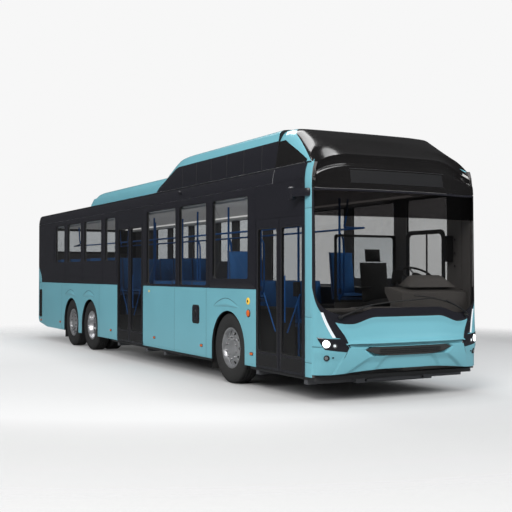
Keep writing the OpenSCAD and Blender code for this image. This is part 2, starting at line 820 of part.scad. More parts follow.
front_split = (front_door_fore + front_door_aft) / 2;
mid_split = (mid_door_fore + mid_door_aft) / 2;
front_leaf_top = front_door_top - leaf_gap;
mid_leaf_top = mid_door_top - leaf_gap;

module front_door_fore_leaf() { leaf(front_split + leaf_gap / 2, front_door_fore - hinge_gap, front_leaf_top, 1); }
module front_door_aft_leaf() { leaf(front_door_aft + hinge_gap, front_split - leaf_gap / 2, front_leaf_top, -1); }
module mid_door_fore_leaf() { leaf(mid_split + leaf_gap / 2, mid_door_fore - hinge_gap, mid_leaf_top, 1); }
module mid_door_aft_leaf() { leaf(mid_door_aft + hinge_gap, mid_split - leaf_gap / 2, mid_leaf_top, -1); }

// ---------------------------------------------------------------- axles and wheels

// A turned part about a wheel's axle: its profile gives [distance outboard, radius].
module turned(x, y, side) {
  translate([x, side * y, tyre_r]) rotate([side > 0 ? -90 : 90, 0, 0]) rotate_extrude($fn = 96)
    children();
}

module tyre(x, y, side) {
  h = tyre_w / 2;
  w = rim_w / 2;
  seat = rim_d / 2;
  half = [[w - 8 - seat_gap, seat + seat_gap], [w - 8 - seat_gap, seat + 21], [w + 2, seat + 23],
    [h - 6, seat + 50], [h, seat + 95], [h - 4, tyre_r - 50], [h - 22, tyre_r - 10], [h - 46, tyre_r - 2]];
  n = len(half);
  color(rubber) turned(x, y, side) polygon(concat([for (p = half) [p[1], p[0]]], [[tyre_r, 0]],
    [for (i = [n - 1 : -1 : 0]) [half[i][1], -half[i][0]]]));
}

hub_r = 62;
hub_hole_r = hub_r - 20;

// A rim and its hub. The dish is the disc's place outboard of the rim's middle.
module rim(x, y, side, dish, cap) {
  seat = rim_d / 2;
  w = rim_w / 2;
  color(silver) difference() {
    union() {
      turned(x, y, side) polygon([for (p = [[-w, seat - 14], [-w, seat + 20], [-w + 7, seat + 20], [-w + 8, seat],
        [w - 8, seat], [w - 7, seat + 20], [w, seat + 20], [w, seat - 14]]) [p[1], p[0]]]);
      turned(x, y, side) polygon([for (p = [[dish - 22, hub_hole_r], [dish, hub_hole_r], [dish, 165],
        [dish - 30, 225], [dish - 40, seat - 10], [dish - 62, seat - 10], [dish - 52, 215], [dish - 22, 150]]) [p[1], p[0]]]);
      turned(x, y, side) polygon([for (p = [[-60, hub_hole_r], [cap, hub_hole_r], [cap, 100], [dish - 1, 112],
        [dish - 1, 112], [-60, 112]]) [p[1], p[0]]]);
    }
    for (k = [0 : 9]) translate([x, side * y, tyre_r]) rotate([side > 0 ? -90 : 90, 0, 0])
      rotate([0, 0, k * 36]) translate([222, 0, dish - 80]) cylinder(h = 110, r = 24, $fn = 24);
  }
}

module front_right_rim() { rim(front_axle_x, wheel_y, -1, 90, 120); }
module front_right_tyre() { tyre(front_axle_x, wheel_y, -1); }
module front_left_rim() { rim(front_axle_x, wheel_y, 1, 90, 120); }
module front_left_tyre() { tyre(front_axle_x, wheel_y, 1); }
module drive_right_rims() { rim(drive_axle_x, wheel_y, -1, -40, 90); rim(drive_axle_x, wheel_y - twin_pitch, -1, 100, 100); }
module drive_right_tyres() { tyre(drive_axle_x, wheel_y, -1); tyre(drive_axle_x, wheel_y - twin_pitch, -1); }
module drive_left_rims() { rim(drive_axle_x, wheel_y, 1, -40, 90); rim(drive_axle_x, wheel_y - twin_pitch, 1, 100, 100); }
module drive_left_tyres() { tyre(drive_axle_x, wheel_y, 1); tyre(drive_axle_x, wheel_y - twin_pitch, 1); }
module tag_right_rim() { rim(tag_axle_x, wheel_y, -1, 90, 120); }
module tag_right_tyre() { tyre(tag_axle_x, wheel_y, -1); }
module tag_left_rim() { rim(tag_axle_x, wheel_y, 1, 90, 120); }
module tag_left_tyre() { tyre(tag_axle_x, wheel_y, 1); }

// A fixed axle: a beam as far as the wheels, with a spindle at each end.
module beam_axle(x, inner, reach) {
  translate([x, 0, tyre_r]) rotate([90, 0, 0]) {
    cylinder(h = 2 * inner, r = 70, center = true);
    cylinder(h = 2 * reach, r = hub_hole_r - seat_gap, center = true);
  }
  for (y = [-rail_y, rail_y]) box([x - 60, y - 50, tyre_r], [x + 60, y + 50, high_under]);
}

diff_r = 190;
module drive_axle() {
  color(grey) {
    beam_axle(drive_axle_x, wheel_y - twin_pitch - 70, wheel_y + 60);
    translate([drive_axle_x, 0, tyre_r]) rotate([90, 0, 0]) cylinder(h = 260, r = diff_r, center = true);
  }
}

module tag_axle() { color(grey) beam_axle(tag_axle_x, wheel_y - 150, wheel_y + 80); }

motor_top = high_under;
motor_bar_x = drive_axle_x - diff_r - 360;
module traction_motor() {
  color(grey) box([drive_axle_x - diff_r - 560, -200, 330], [drive_axle_x - diff_r - seat_gap, 200, motor_top - seat_gap]);
}

front_drop_y = 560;
kingpin_r = 24;
boss_r = 34;
sleeve_r = 50;

module front_axle() {
  color(grey) {
    box([front_axle_x - 60, -front_drop_y, low_under - 60], [front_axle_x + 60, front_drop_y, low_under - seat_gap]);
    for (side = [-1, 1]) on_side(side) {
      translate([front_axle_x, -kingpin_y, 240]) cylinder(h = 20, r = boss_r);
      box([front_axle_x - boss_r, -kingpin_y, 240], [front_axle_x + boss_r, -front_drop_y, 260]);
      box([front_axle_x - 60, -front_drop_y - 60, low_under - 60], [front_axle_x + 60, -front_drop_y, 260]);
      translate([front_axle_x, -kingpin_y, 258]) cylinder(h = 480, r = kingpin_r);
    }
  }
}

module knuckle(side) {
  color(grey) on_side(side) difference() {
    union() {
      translate([front_axle_x, -kingpin_y, 262]) cylinder(h = 460, r = sleeve_r);
      translate([front_axle_x, -kingpin_y, tyre_r]) rotate([90, 0, 0])
        cylinder(h = kingpin_inset + 80, r = hub_hole_r - seat_gap);
    }
    translate([front_axle_x, -kingpin_y, 250]) cylinder(h = 600, r = kingpin_r + seat_gap);
  }
}
module right_knuckle() { knuckle(-1); }
module left_knuckle() { knuckle(1); }

// Flaps hung on the rear wall of the wheel boxes.
module mudflaps() {
  color(rubber) for (side = [-1, 1]) on_side(side) {
    for (x = [front_axle_x, tag_axle_x])
      box([x - house_half + seat_gap, -inner_y + 10, 150], [x - house_half + 8, -wheel_y + tyre_w / 2 + 20, 1000]);
  }
}

chassis_rails();
cross_members();
low_floor();
raised_floor();
wheel_boxes();
ceiling();
side_skirts();
window_frames();
side_glass();
corner_pillars();
roof();
front_pod();
rear_pod();
front_dome();
windscreen();
front_panel();
front_bumper();
rear_wall();
rear_hatch();
rear_bumper();
headlamps();
tail_lamps();
wipers();
mirror_cameras();
mudflaps();
front_axle();
drive_axle();
tag_axle();
traction_motor();
battery_pack();
seat_frames();
seat_pads();
driver_seat();
dashboard();
steering_wheel();
cab_partition();
handrails();
front_door_fore_leaf();
front_door_aft_leaf();
mid_door_fore_leaf();
mid_door_aft_leaf();
right_knuckle();
left_knuckle();
front_right_rim();
front_right_tyre();
front_left_rim();
front_left_tyre();
drive_right_rims();
drive_right_tyres();
drive_left_rims();
drive_left_tyres();
tag_right_rim();
tag_right_tyre();
tag_left_rim();
tag_left_tyre();
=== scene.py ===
"""City bus: finished surfaces, seats, wheels and studio around the constructed frame."""

import math

import bmesh
import bpy
import numpy as np
from bpy.props import FloatProperty, FloatVectorProperty, IntProperty, PointerProperty
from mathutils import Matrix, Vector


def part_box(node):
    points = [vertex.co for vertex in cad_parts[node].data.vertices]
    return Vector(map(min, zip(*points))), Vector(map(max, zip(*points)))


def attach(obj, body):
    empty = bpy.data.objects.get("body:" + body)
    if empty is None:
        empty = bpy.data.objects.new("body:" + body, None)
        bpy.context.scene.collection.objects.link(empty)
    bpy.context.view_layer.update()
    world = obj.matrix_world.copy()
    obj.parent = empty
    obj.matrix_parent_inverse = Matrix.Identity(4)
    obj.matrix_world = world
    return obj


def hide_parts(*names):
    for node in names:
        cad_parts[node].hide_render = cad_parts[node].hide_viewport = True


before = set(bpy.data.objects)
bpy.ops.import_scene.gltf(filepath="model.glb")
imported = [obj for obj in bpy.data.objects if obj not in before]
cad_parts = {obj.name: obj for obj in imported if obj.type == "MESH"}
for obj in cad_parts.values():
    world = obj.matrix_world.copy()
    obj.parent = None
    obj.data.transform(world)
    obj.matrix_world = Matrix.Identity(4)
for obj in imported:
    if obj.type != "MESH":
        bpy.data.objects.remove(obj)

bl_info = {
    "name": "City Bus",
    "version": (1, 0, 0),
    "blender": (4, 5, 0),
    "location": "3D View > Sidebar > City Bus",
    "description": "Builds the finished pieces of a low-floor city bus over its frame",
    "category": "Object",
}


# ---------------------------------------------------------------- measures


class BusBodyMeasures(bpy.types.PropertyGroup):
    """Sizes of the outer body."""

    half_width: FloatProperty(
        name="Half width", description="Centre line to the side panels", default=1.275, unit="LENGTH"
    )
    nose_x: FloatProperty(name="Nose", description="Foremost point of the body", default=6.65, unit="LENGTH")
    nose_depth: FloatProperty(
        name="Nose depth", description="How far the rounded front runs back at the sides", default=0.32,
        unit="LENGTH"
    )
    screen_lean: FloatProperty(
        name="Windscreen lean", description="How far the front leans back at the windscreen's top",
        default=0.215, unit="LENGTH"
    )
    screen_top: FloatProperty(
        name="Windscreen top", description="Height of the windscreen's upper edge", default=2.63,
        unit="LENGTH"
    )
    crest_z: FloatProperty(
        name="Crest", description="Height of the painted front panel's crest", default=1.043, unit="LENGTH"
    )
    lip_z: FloatProperty(
        name="Lip", description="Height of the fold between front panel and bumper", default=0.69,
        unit="LENGTH"
    )
    bumper_z: FloatProperty(
        name="Bumper edge", description="Height of the bumper's lower edge at the corners", default=0.345,
        unit="LENGTH"
    )
    skirt_z: FloatProperty(
        name="Skirt edge", description="Height of the side panels' lower edge", default=0.31, unit="LENGTH"
    )
    belt_z: FloatProperty(
        name="Belt", description="Height where the side panels meet the glazing", default=1.365, unit="LENGTH"
    )
    band_z: FloatProperty(
        name="Glazing top", description="Height of the glazing's upper edge", default=2.76, unit="LENGTH"
    )
    gutter_z: FloatProperty(name="Gutter", description="Height of the gutter", default=2.97, unit="LENGTH")
    tail_radius: FloatProperty(
        name="Tail corner", description="Radius of the rear corners", default=0.26, unit="LENGTH"
    )
    arch_radius: FloatProperty(
        name="Wheel arch", description="Radius of the wheel arches", default=0.535, unit="LENGTH"
    )
    seam: FloatProperty(
        name="Seam", description="Gap between neighbouring panels", default=0.006, unit="LENGTH"
    )
    paint: FloatVectorProperty(
        name="Paint", description="Colour of the body's paint", default=(0.135, 0.365, 0.430), min=0, max=1,
        subtype="COLOR"
    )


class BusWheelMeasures(bpy.types.PropertyGroup):
    """Sizes of the wheels."""

    tyre_radius: FloatProperty(
        name="Tyre radius", description="Radius over the tread", default=0.506, unit="LENGTH"
    )
    tyre_width: FloatProperty(
        name="Tyre width", description="Width over the sidewalls", default=0.276, unit="LENGTH"
    )
    rim_radius: FloatProperty(
        name="Rim radius", description="Radius of the rim's flange", default=0.2955, unit="LENGTH"
    )
    tread_depth: FloatProperty(
        name="Tread depth", description="Depth of the tread grooves", default=0.011, unit="LENGTH"
    )
    lugs: IntProperty(name="Tread lugs", description="Lugs round one shoulder of the tyre", default=72)
    hand_holes: IntProperty(name="Hand holes", description="Round holes in a rim's disc", default=10)
    nuts: IntProperty(name="Wheel nuts", description="Nuts on one wheel", default=10)


class BusCabinMeasures(bpy.types.PropertyGroup):
    """Sizes inside the saloon."""

    puff: FloatProperty(
        name="Puff", description="Furthest that the filling pushes a cushion's cover", default=0.012,
        unit="LENGTH"
    )
    cover_grid: IntProperty(name="Cover grid", description="Divisions across one cushion", default=20)
    rail_radius: FloatProperty(
        name="Rail radius", description="Radius of the grab rails", default=0.017, unit="LENGTH"
    )
    wheel_radius: FloatProperty(
        name="Steering wheel", description="Radius of the steering wheel's ring", default=0.215, unit="LENGTH"
    )
    cloth: FloatVectorProperty(
        name="Seat cloth", description="Colour of the seats' covers", default=(0.039, 0.225, 0.430), min=0,
        max=1, subtype="COLOR"
    )
    rails: FloatVectorProperty(
        name="Rails", description="Colour of the grab rails", default=(0.012, 0.210, 0.560), min=0, max=1,
        subtype="COLOR"
    )


class BusStageMeasures(bpy.types.PropertyGroup):
    """Camera, floor and lamps of the studio."""

    eye: FloatVectorProperty(
        name="Camera place", description="Where the camera stands", default=(15.718, -7.067, 1.586), size=3,
        subtype="TRANSLATION", unit="LENGTH"
    )
    azimuth: FloatProperty(
        name="Azimuth", description="Camera's turn round the bus", default=math.radians(61.853),
        subtype="ANGLE", unit="ROTATION"
    )
    pitch: FloatProperty(
        name="Pitch", description="Camera's upward tilt", default=math.radians(1.077), subtype="ANGLE",
        unit="ROTATION"
    )
    lens: FloatProperty(name="Lens", description="Focal length in millimetres", default=63.61)
    key_power: FloatProperty(name="Key lamp", description="Power of the main soft lamp", default=1610.0)
    fill_power: FloatProperty(name="Fill lamp", description="Power of the second soft lamp", default=700.0)
    top_power: FloatProperty(name="Top lamp", description="Power of the lamp overhead", default=1100.0)
    backdrop: FloatProperty(name="Backdrop", description="Brightness of the backdrop", default=0.93)


def measures():
    """The four groups of measures on the scene."""
    s = bpy.context.scene
    return s.bus_body, s.bus_wheels, s.bus_cabin, s.bus_stage


# ---------------------------------------------------------------- materials

# name: base colour or the measure that holds it, roughness, metallic, coat, grain size per metre, spread of
# colour, bump in mm
FINISHES = {
    "paint": ("paint", 0.34, 0.0, 0.75, 900.0, 0.05, 0.02),
    "roof_paint": ((0.130, 0.330, 0.380), 0.42, 0.0, 0.4, 700.0, 0.06, 0.03),
    "black_gloss": ((0.0065, 0.0060, 0.0060), 0.17, 0.0, 0.15, 30.0, 0.20, 0.01),
    "black_satin": ((0.012, 0.012, 0.013), 0.45, 0.0, 0.0, 300.0, 0.15, 0.05),
    "rubber": ((0.013, 0.013, 0.013), 0.70, 0.0, 0.0, 500.0, 0.20, 0.10),
    "tyre": ((0.017, 0.016, 0.016), 0.78, 0.0, 0.0, 160.0, 0.28, 0.25),
    "alloy": ((0.62, 0.61, 0.59), 0.22, 1.0, 0.0, 90.0, 0.08, 0.03),
    "steel": ((0.30, 0.30, 0.31), 0.38, 1.0, 0.0, 120.0, 0.12, 0.08),
    "frame_steel": ((0.013, 0.013, 0.014), 0.60, 0.0, 0.0, 60.0, 0.25, 0.20),
    "machine_grey": ((0.12, 0.12, 0.125), 0.50, 0.3, 0.0, 80.0, 0.20, 0.15),
    "floor_grey": ((0.030, 0.031, 0.033), 0.62, 0.0, 0.0, 240.0, 0.30, 0.15),
    "lining": ((0.34, 0.34, 0.335), 0.55, 0.0, 0.0, 150.0, 0.06, 0.05),
    "ceiling_white": ((0.72, 0.71, 0.70), 0.60, 0.0, 0.0, 150.0, 0.04, 0.05),
    "pillar_grey": ((0.105, 0.100, 0.098), 0.55, 0.0, 0.0, 150.0, 0.10, 0.05),
    "dash_grey": ((0.125, 0.118, 0.113), 0.58, 0.0, 0.0, 420.0, 0.12, 0.12),
    "seat_shell": ((0.045, 0.240, 0.440), 0.40, 0.0, 0.1, 120.0, 0.10, 0.05),
    "seat_cloth": ("cloth", 0.85, 0.0, 0.0, 700.0, 0.35, 0.40),
    "cab_black": ((0.016, 0.016, 0.017), 0.62, 0.0, 0.0, 500.0, 0.25, 0.20),
    "rail_blue": ("rails", 0.25, 0.0, 0.5, 60.0, 0.05, 0.02),
    "red_lens": ((0.42, 0.010, 0.008), 0.12, 0.0, 0.8, 200.0, 0.10, 0.05),
    "amber_lens": ((0.58, 0.105, 0.012), 0.14, 0.0, 0.8, 200.0, 0.10, 0.05),
    "yellow_disc": ((0.90, 0.55, 0.05), 0.30, 0.0, 0.4, 200.0, 0.05, 0.02),
    "lamp_bowl": ((0.75, 0.78, 0.80), 0.10, 1.0, 0.0, 60.0, 0.05, 0.02),
}


def new_material(name):
    """An empty node material and its output node, or None as the output if it is there already."""
    old = bpy.data.materials.get(name)
    if old:
        return old, None
    made = bpy.data.materials.new(name)
    made.use_nodes = True
    made.node_tree.nodes.clear()
    return made, made.node_tree.nodes.new("ShaderNodeOutputMaterial")


def node(tree, kind, sockets=(), **values):
    """Adds a node; values name its properties or sockets, and sockets are (socket, source or value) pairs."""
    made = tree.nodes.new(kind)
    for key, value in values.items():
        if hasattr(made, key):
            setattr(made, key, value)
        else:
            made.inputs[key.replace("_", " ")].default_value = value
    for socket, source in sockets:
        if isinstance(source, bpy.types.NodeSocket):
            tree.links.new(source, made.inputs[socket])
        else:
            made.inputs[socket].default_value = source
    return made


def spot(tree):
    """Object coordinates."""
    return node(tree, "ShaderNodeTexCoord").outputs["Object"]


def ranged(tree, value, **limits):
    """That value carried from one range to another."""
    return node(tree, "ShaderNodeMapRange", [("Value", value)], **limits).outputs[0]


def calc(tree, kind, a, b=0.0):
    """A sum on two sockets or numbers."""
    return node(tree, "ShaderNodeMath", [(0, a), (1, b)], operation=kind).outputs[0]


def blend(tree, share, first, second):
    """Two shaders mixed."""
    return node(tree, "ShaderNodeMixShader", [(0, share), (1, first), (2, second)]).outputs[0]


def tinted(tree, drift, colour, spread):
    """A colour that goes from darker to lighter by that spread as drift goes from 0 to 1."""
    low, high = ((*[min(1, c * k) for c in colour], 1) for k in (1 - spread, 1 + spread))
    return node(tree, "ShaderNodeMix", [("Factor", drift), (6, low), (7, high)], data_type="RGBA").outputs[2]


def tone(colour):
    """A colour, or the one that the measure of that name holds."""
    if isinstance(colour, str):
        return next(getattr(group, colour) for group in measures() if hasattr(group, colour))
    return colour


def painted(tree, name):
    """A principled shader whose colour, roughness and relief follow a fine noise in object coordinates; the
    finishes listed for painted glow also glow faintly, a painted light.
    """
    base, rough, metal, coat, size, spread, relief = FINISHES[name]
    place = [("Vector", spot(tree))]
    fine = node(tree, "ShaderNodeTexNoise", place, Scale=size, Detail=3.0).outputs["Fac"]
    broad = node(tree, "ShaderNodeTexNoise", place, Scale=1.3, Detail=2.0).outputs["Fac"]
    mix = ranged(tree, calc(tree, "ADD", fine, broad), From_Min=0.7, From_Max=1.3)
    grain = ranged(tree, mix, To_Min=rough * 0.88, To_Max=rough * 1.12)
    bump = node(tree, "ShaderNodeBump", [("Height", fine)], Distance=relief / 1000, Strength=0.5)
    colour = tinted(tree, mix, tone(base), spread)
    return node(
        tree,
        "ShaderNodeBsdfPrincipled",
        [("Base Color", colour), ("Roughness", grain), ("Normal", bump.outputs[0])],
        Metallic=metal,
        Coat_Weight=coat,
        Coat_Roughness=0.06,
        # painted light: a faint glow on the finishes listed for it, standing for the ceiling lights' light
        Emission_Color=(1.0, 0.97, 0.94, 1),
        Emission_Strength=PAINTED_GLOW.get(name, 0.0),
    ).outputs[0]


def finish(name):
    """The material of that finish, made when it is first asked for."""
    made, out = new_material(name)
    if out is None:
        return made
    tree = made.node_tree
    if name in FINISHES:
        shader = painted(tree, name)
    elif name in GLASSES:
        shader = glazed(tree, *GLASSES[name])
    elif name in GLOWS:
        shader = glowing(tree, *GLOWS[name])
    else:
        shader = lined(tree) if name == "pillar_lining" else livery(tree)
    tree.links.new(shader, out.inputs["Surface"])
    return made


# name: what one face of the glass lets through, and the strength of its reflection
GLASSES = {
    "side_glass": ((0.78, 0.79, 0.795), 0.80),
    "screen_glass": ((0.77, 0.765, 0.76), 0.60),
    "header_glass": ((0.20, 0.19, 0.19), 0.60),
    "door_glass": ((0.74, 0.745, 0.75), 0.75),
    "lens_glass": ((0.90, 0.92, 0.93), 1.0),
}

# name: colour and strength
GLOWS = {
    "led_white": ((0.93, 0.97, 1.0), 6.0),
    "day_strip": ((0.90, 0.96, 1.0), 1.1),
    "cabin_light": ((1.0, 0.98, 0.95), 0.9),
}

# painted light: a faint glow given to the ceiling and lining finishes, standing for what the ceiling lights
# add near them
PAINTED_GLOW = {"ceiling_white": 0.16, "lining": 0.04}


def glazed(tree, through, shine):
    """Thin glass: a tinted see-through share, with faint drift in the tint, under a clear reflection that
    grows at grazing angles."""
    drift = node(tree, "ShaderNodeTexNoise", [("Vector", spot(tree))], Scale=0.8).outputs["Fac"]
    clear = node(tree, "ShaderNodeBsdfTransparent", [("Color", tinted(tree, drift, through, 0.04))])
    gloss = node(tree, "ShaderNodeBsdfGlossy", [("Color", (shine, shine, shine, 1))], Roughness=0.02)
    edge = node(tree, "ShaderNodeFresnel", IOR=1.45).outputs[0]
    back = node(tree, "ShaderNodeNewGeometry").outputs["Backfacing"]
    share = calc(tree, "MULTIPLY", edge, calc(tree, "SUBTRACT", 1.0, back))
    return blend(tree, share, clear.outputs[0], gloss.outputs[0])


def glowing(tree, colour, strength):
    """A lit lamp face with a fine ribbed brightness."""
    ribs = node(tree, "ShaderNodeTexWave", [("Vector", spot(tree))], Scale=40.0).outputs["Fac"]
    level = ranged(tree, ribs, To_Min=strength * 0.8, To_Max=strength)
    return node(tree, "ShaderNodeEmission", [("Strength", level), ("Color", (*colour, 1))]).outputs[0]


def lined(tree):
    """Gloss black outside LINING_EDGE from the middle plane, grey lining inside it."""
    y = node(tree, "ShaderNodeSeparateXYZ", [(0, spot(tree))]).outputs[1]
    mask = calc(tree, "GREATER_THAN", calc(tree, "ABSOLUTE", y), LINING_EDGE)
    return blend(tree, mask, painted(tree, "pillar_grey"), painted(tree, "black_gloss"))


def livery(tree):
    """Gloss black with a painted strip that comes forward along the shoulder and runs down to the corner
    pillar. The strip lies outside 1.00 m, behind a line sloping down and forward, and above or ahead of a
    second such line."""
    x, y, z = node(tree, "ShaderNodeSeparateXYZ", [(0, spot(tree))]).outputs

    def line(start, drop):
        return calc(tree, "SUBTRACT", start, calc(tree, "MULTIPLY", z, drop))

    ahead = line(6.17 + 1.39 * 3.03, 1.39)
    behind = calc(tree, "MINIMUM", line(6.03 + 2.0 * 3.06, 2.0), 6.15)
    side = calc(tree, "GREATER_THAN", calc(tree, "ABSOLUTE", y), calc(tree, "MAXIMUM", 1.00, line(3.56, 0.8)))
    rise = calc(tree, "MULTIPLY", calc(tree, "SUBTRACT", x, 6.16), 0.3)
    side = calc(tree, "MULTIPLY", side, calc(tree, "GREATER_THAN", calc(tree, "SUBTRACT", z, rise), 2.90))
    low = calc(tree, "LESS_THAN", x, calc(tree, "MINIMUM", ahead, 6.334))
    high = calc(tree, "MAXIMUM", calc(tree, "GREATER_THAN", x, behind), calc(tree, "GREATER_THAN", z, 3.325))
    mask = calc(tree, "MULTIPLY", side, calc(tree, "MULTIPLY", low, high))
    return blend(tree, mask, painted(tree, "black_gloss"), painted(tree, "paint"))


# ---------------------------------------------------------------- surfaces

FACE = 0.02  # a panel's outer face lies less deep than this, its back deeper
EASE = 0.0015  # how far a plate's edges are eased
LINING_EDGE = 1.262  # window frames are black outside this distance from the middle plane, lined inside it


def around(n):
    """n angles evenly round a circle."""
    return np.linspace(0, 2 * math.pi, n, endpoint=False)


def aside(axis):
    """A unit vector square to the axis."""
    v = np.cross(axis, (0.0, 0.0, 1.0) if abs(axis[2]) < 0.9 else (1.0, 0.0, 0.0))
    return v / np.linalg.norm(v)


def faced(w, move):
    """Depths w, with only the outer face moved in."""
    return np.where(w < FACE, w + move, w)


class Shape:
    """One mesh gathered from closed surfaces, each a grid of points."""

    def __init__(self):
        self.points, self.faces, self.slots, self.names, self.count = [], [], [], [], 0

    def slot(self, name):
        if name not in self.names:
            self.names.append(name)
        return self.names.index(name)

    def add(self, points):
        """Adds an array of points, last axis x, y, z, and returns their numbers in the same layout."""
        p = np.asarray(points, float)
        ids = np.arange(p[..., 0].size).reshape(p.shape[:-1]) + self.count
        self.points.append(p.reshape(-1, 3))
        self.count += ids.size
        return ids

    def copy(self, other, points, slot):
        """Adds the faces of another shape at new points."""
        self.faces += (np.array(other.faces) + self.count).tolist()
        self.add(points)
        self.slots += [self.slot(slot)] * len(other.faces)

    def quads(self, ids, slot):
        """Faces of a grid of point numbers; slot is a finish's name or an array of slot numbers."""
        a = np.stack([ids[:-1, :-1], ids[:-1, 1:], ids[1:, 1:], ids[1:, :-1]], -1).reshape(-1, 4)
        self.faces += a.tolist()
        if isinstance(slot, str):
            self.slots += [self.slot(slot)] * len(a)
        else:
            self.slots += np.asarray(slot).reshape(-1).tolist()

    def loops(self, rows, slot, ring=False, caps=True):
        """Closed loops of points, row after row. The last row joins the first if ring, or each end closes on
        its middle."""
        ids = self.add(rows)
        ids = np.concatenate([ids, ids[:, :1]], 1)
        if ring:
            ids = np.concatenate([ids, ids[:1]], 0)
        self.quads(ids, slot)
        if caps and not ring:
            for row, order in ((ids[0], 1), (ids[-1], -1)):
                p = np.concatenate(self.points)[row[:-1]].mean(0)
                mid = int(self.add(p[None])[0])
                fan = np.stack([np.full(len(row) - 1, mid), row[1:], row[:-1]], -1)
                self.faces += fan[:, ::order].tolist()
                self.slots += self.slots[-1:] * len(fan)

    def hem(self, out, back, slot):
        """Joins two grids of point numbers along their edges."""
        for a, b in (
            (out[0], back[0]), (back[-1], out[-1]), (back[:, 0], out[:, 0]), (out[:, -1], back[:, -1])
        ):
            self.quads(np.stack([b, a]), slot)

    def slab(self, place, u, v, depth, ease, slot, eu, ev, inner="black_satin"):
        """A panel: place(u, v, w) for a depth w under the surface. Its outer face is eased back by ease at
        its edges, eu and ev in from them."""
        u = np.concatenate([[u[0], u[0] + eu], u[1:-1], [u[-1] - eu, u[-1]]])
        v = np.concatenate([[v[0], v[0] + ev], v[1:-1], [v[-1] - ev, v[-1]]])
        gu, gv = np.meshgrid(u, v)
        w = np.zeros_like(gu)
        w[0], w[-1], w[:, 0], w[:, -1] = ease, ease, ease, ease
        out, back = self.add(place(gu, gv, w)), self.add(place(gu, gv, np.full_like(gu, depth)))
        mid = slot(gu, gv) if callable(slot) else slot
        self.quads(out, mid)
        self.quads(back[:, ::-1], mid[:, ::-1] if callable(slot) else inner)
        self.hem(out, back, inner)

    def rings(self, rows, place, slot, ring=False):
        """Outlines at their depths, joined one after another."""
        self.loops([place(p[:, 0], p[:, 1], np.full(len(p), w)) for p, w in rows], slot, ring=ring)

    def plate(self, loop, place, low, high, slot, ease=EASE):
        """A flat piece with the outline loop, from depth low to depth high, its edges eased."""
        mid = loop.mean(0)
        inset = mid + (loop - mid) * (1 - ease / np.abs(loop - mid).max())
        self.rings([(inset, low), (loop, low + ease), (loop, high - ease), (inset, high)], place, slot)

    def border(self, outer, inner, place, low, high, slot):
        """A flat ring between two outlines with as many points each."""
        rows = [(outer, low + EASE), (outer, high), (inner, high), (inner, low + EASE)]
        rows += [(inner * 0.9 + outer * 0.1, low), (outer * 0.97 + inner * 0.03, low)]
        self.rings(rows, place, slot, ring=True)

    def tube(self, path, radius, slot, sides=12, ring=False):
        """A round bar along a path; radius may vary along it. Its frame is carried along without twist."""
        path = np.asarray(path, float)
        run = np.gradient(path, axis=0) if not ring else np.roll(path, -1, 0) - np.roll(path, 1, 0)
        run /= np.linalg.norm(run, axis=1)[:, None]
        turn = around(sides)
        rows, n = [], aside(run[0])
        for p, t, r in zip(path, run, np.broadcast_to(radius, len(path))):
            n = n - t * n.dot(t)
            n /= np.linalg.norm(n)
            rows.append(p + r * (np.cos(turn)[:, None] * n + np.sin(turn)[:, None] * np.cross(t, n)))
        self.loops(np.array(rows), slot, ring=ring)

    def lathe(self, profile, centre, axis, slot, sides=48, ring=False, shift=None):
        """A profile of (radius, distance along the axis) turned round it; shift(angle, r, a) may move the
        radius."""
        profile = np.asarray(profile, float)
        axis = np.asarray(axis, float)
        axis /= np.linalg.norm(axis)
        side = aside(axis)
        turn = around(sides)[None, :]
        r, a = profile[:, :1] + 0 * turn, profile[:, 1:] + 0 * turn
        if shift:
            r = r + shift(turn + 0 * r, r, a)
        out = np.cos(turn)[..., None] * side + np.sin(turn)[..., None] * np.cross(axis, side)
        self.loops(np.asarray(centre, float) + a[..., None] * axis + r[..., None] * out, slot, ring=ring)

    def block(self, low, high, slot, r=0.004):
        """A box with eased edges, as a rounded outline drawn in X and Y and raised along Z."""
        (x0, y0, z0), (x1, y1, z1) = low, high
        r = min(r, (x1 - x0) / 2.5, (y1 - y0) / 2.5, (z1 - z0) / 2.5)
        self.plate(
            rounded(x0, y0, x1, y1, r, 3), lambda u, v, w: np.stack([u, v, w], -1), z0, z1, slot, r * 0.6
        )

    def done(self, name, body, slot, *replaced, sharp=38):
        """Makes the object, with its faces outward, on its body; the slot argument is not used."""
        mesh = bpy.data.meshes.new(name)
        mesh.from_pydata(np.concatenate(self.points).tolist(), [], self.faces)
        for finish_name in self.names:
            mesh.materials.append(finish(finish_name))
        mesh.polygons.foreach_set("material_index", np.array(self.slots, np.int32))
        bm = bmesh.new()
        bm.from_mesh(mesh)
        bmesh.ops.recalc_face_normals(bm, faces=bm.faces)
        bm.to_mesh(mesh)
        bm.free()
        mesh.polygons.foreach_set("use_smooth", np.ones(len(mesh.polygons), bool))
        mesh.set_sharp_from_angle(angle=math.radians(sharp))
        made = bpy.data.objects.new(name, mesh)
        bpy.context.scene.collection.objects.link(made)
        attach(made, body)
        if replaced:
            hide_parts(*replaced)
        return made


def smooth(a, b, v):
    """0 up to a, 1 from b on, and an even curve between."""
    k = np.clip((np.asarray(v, float) - a) / (b - a), 0, 1)
    return k * k * (3 - 2 * k)


def rounded(x0, z0, x1, z1, r, n=6):
    """Outline of a rectangle with round corners, n points to a corner."""
    turn = np.radians(np.linspace(0, 90, n))
    parts = []
    for k, (cx, cz) in enumerate(((x1 - r, z1 - r), (x0 + r, z1 - r), (x0 + r, z0 + r), (x1 - r, z0 + r))):
        a = turn + k * math.pi / 2
        parts.append(np.stack([cx + r * np.cos(a), cz + r * np.sin(a)], -1))
    return np.concatenate(parts)


def grown(box, by, r, n=6):
    """Outline of a rectangle (x0, z0, x1, z1) grown by a distance on each side, with round corners."""
    x0, z0, x1, z1 = box
    return rounded(x0 - by, z0 - by, x1 + by, z1 + by, r, n)


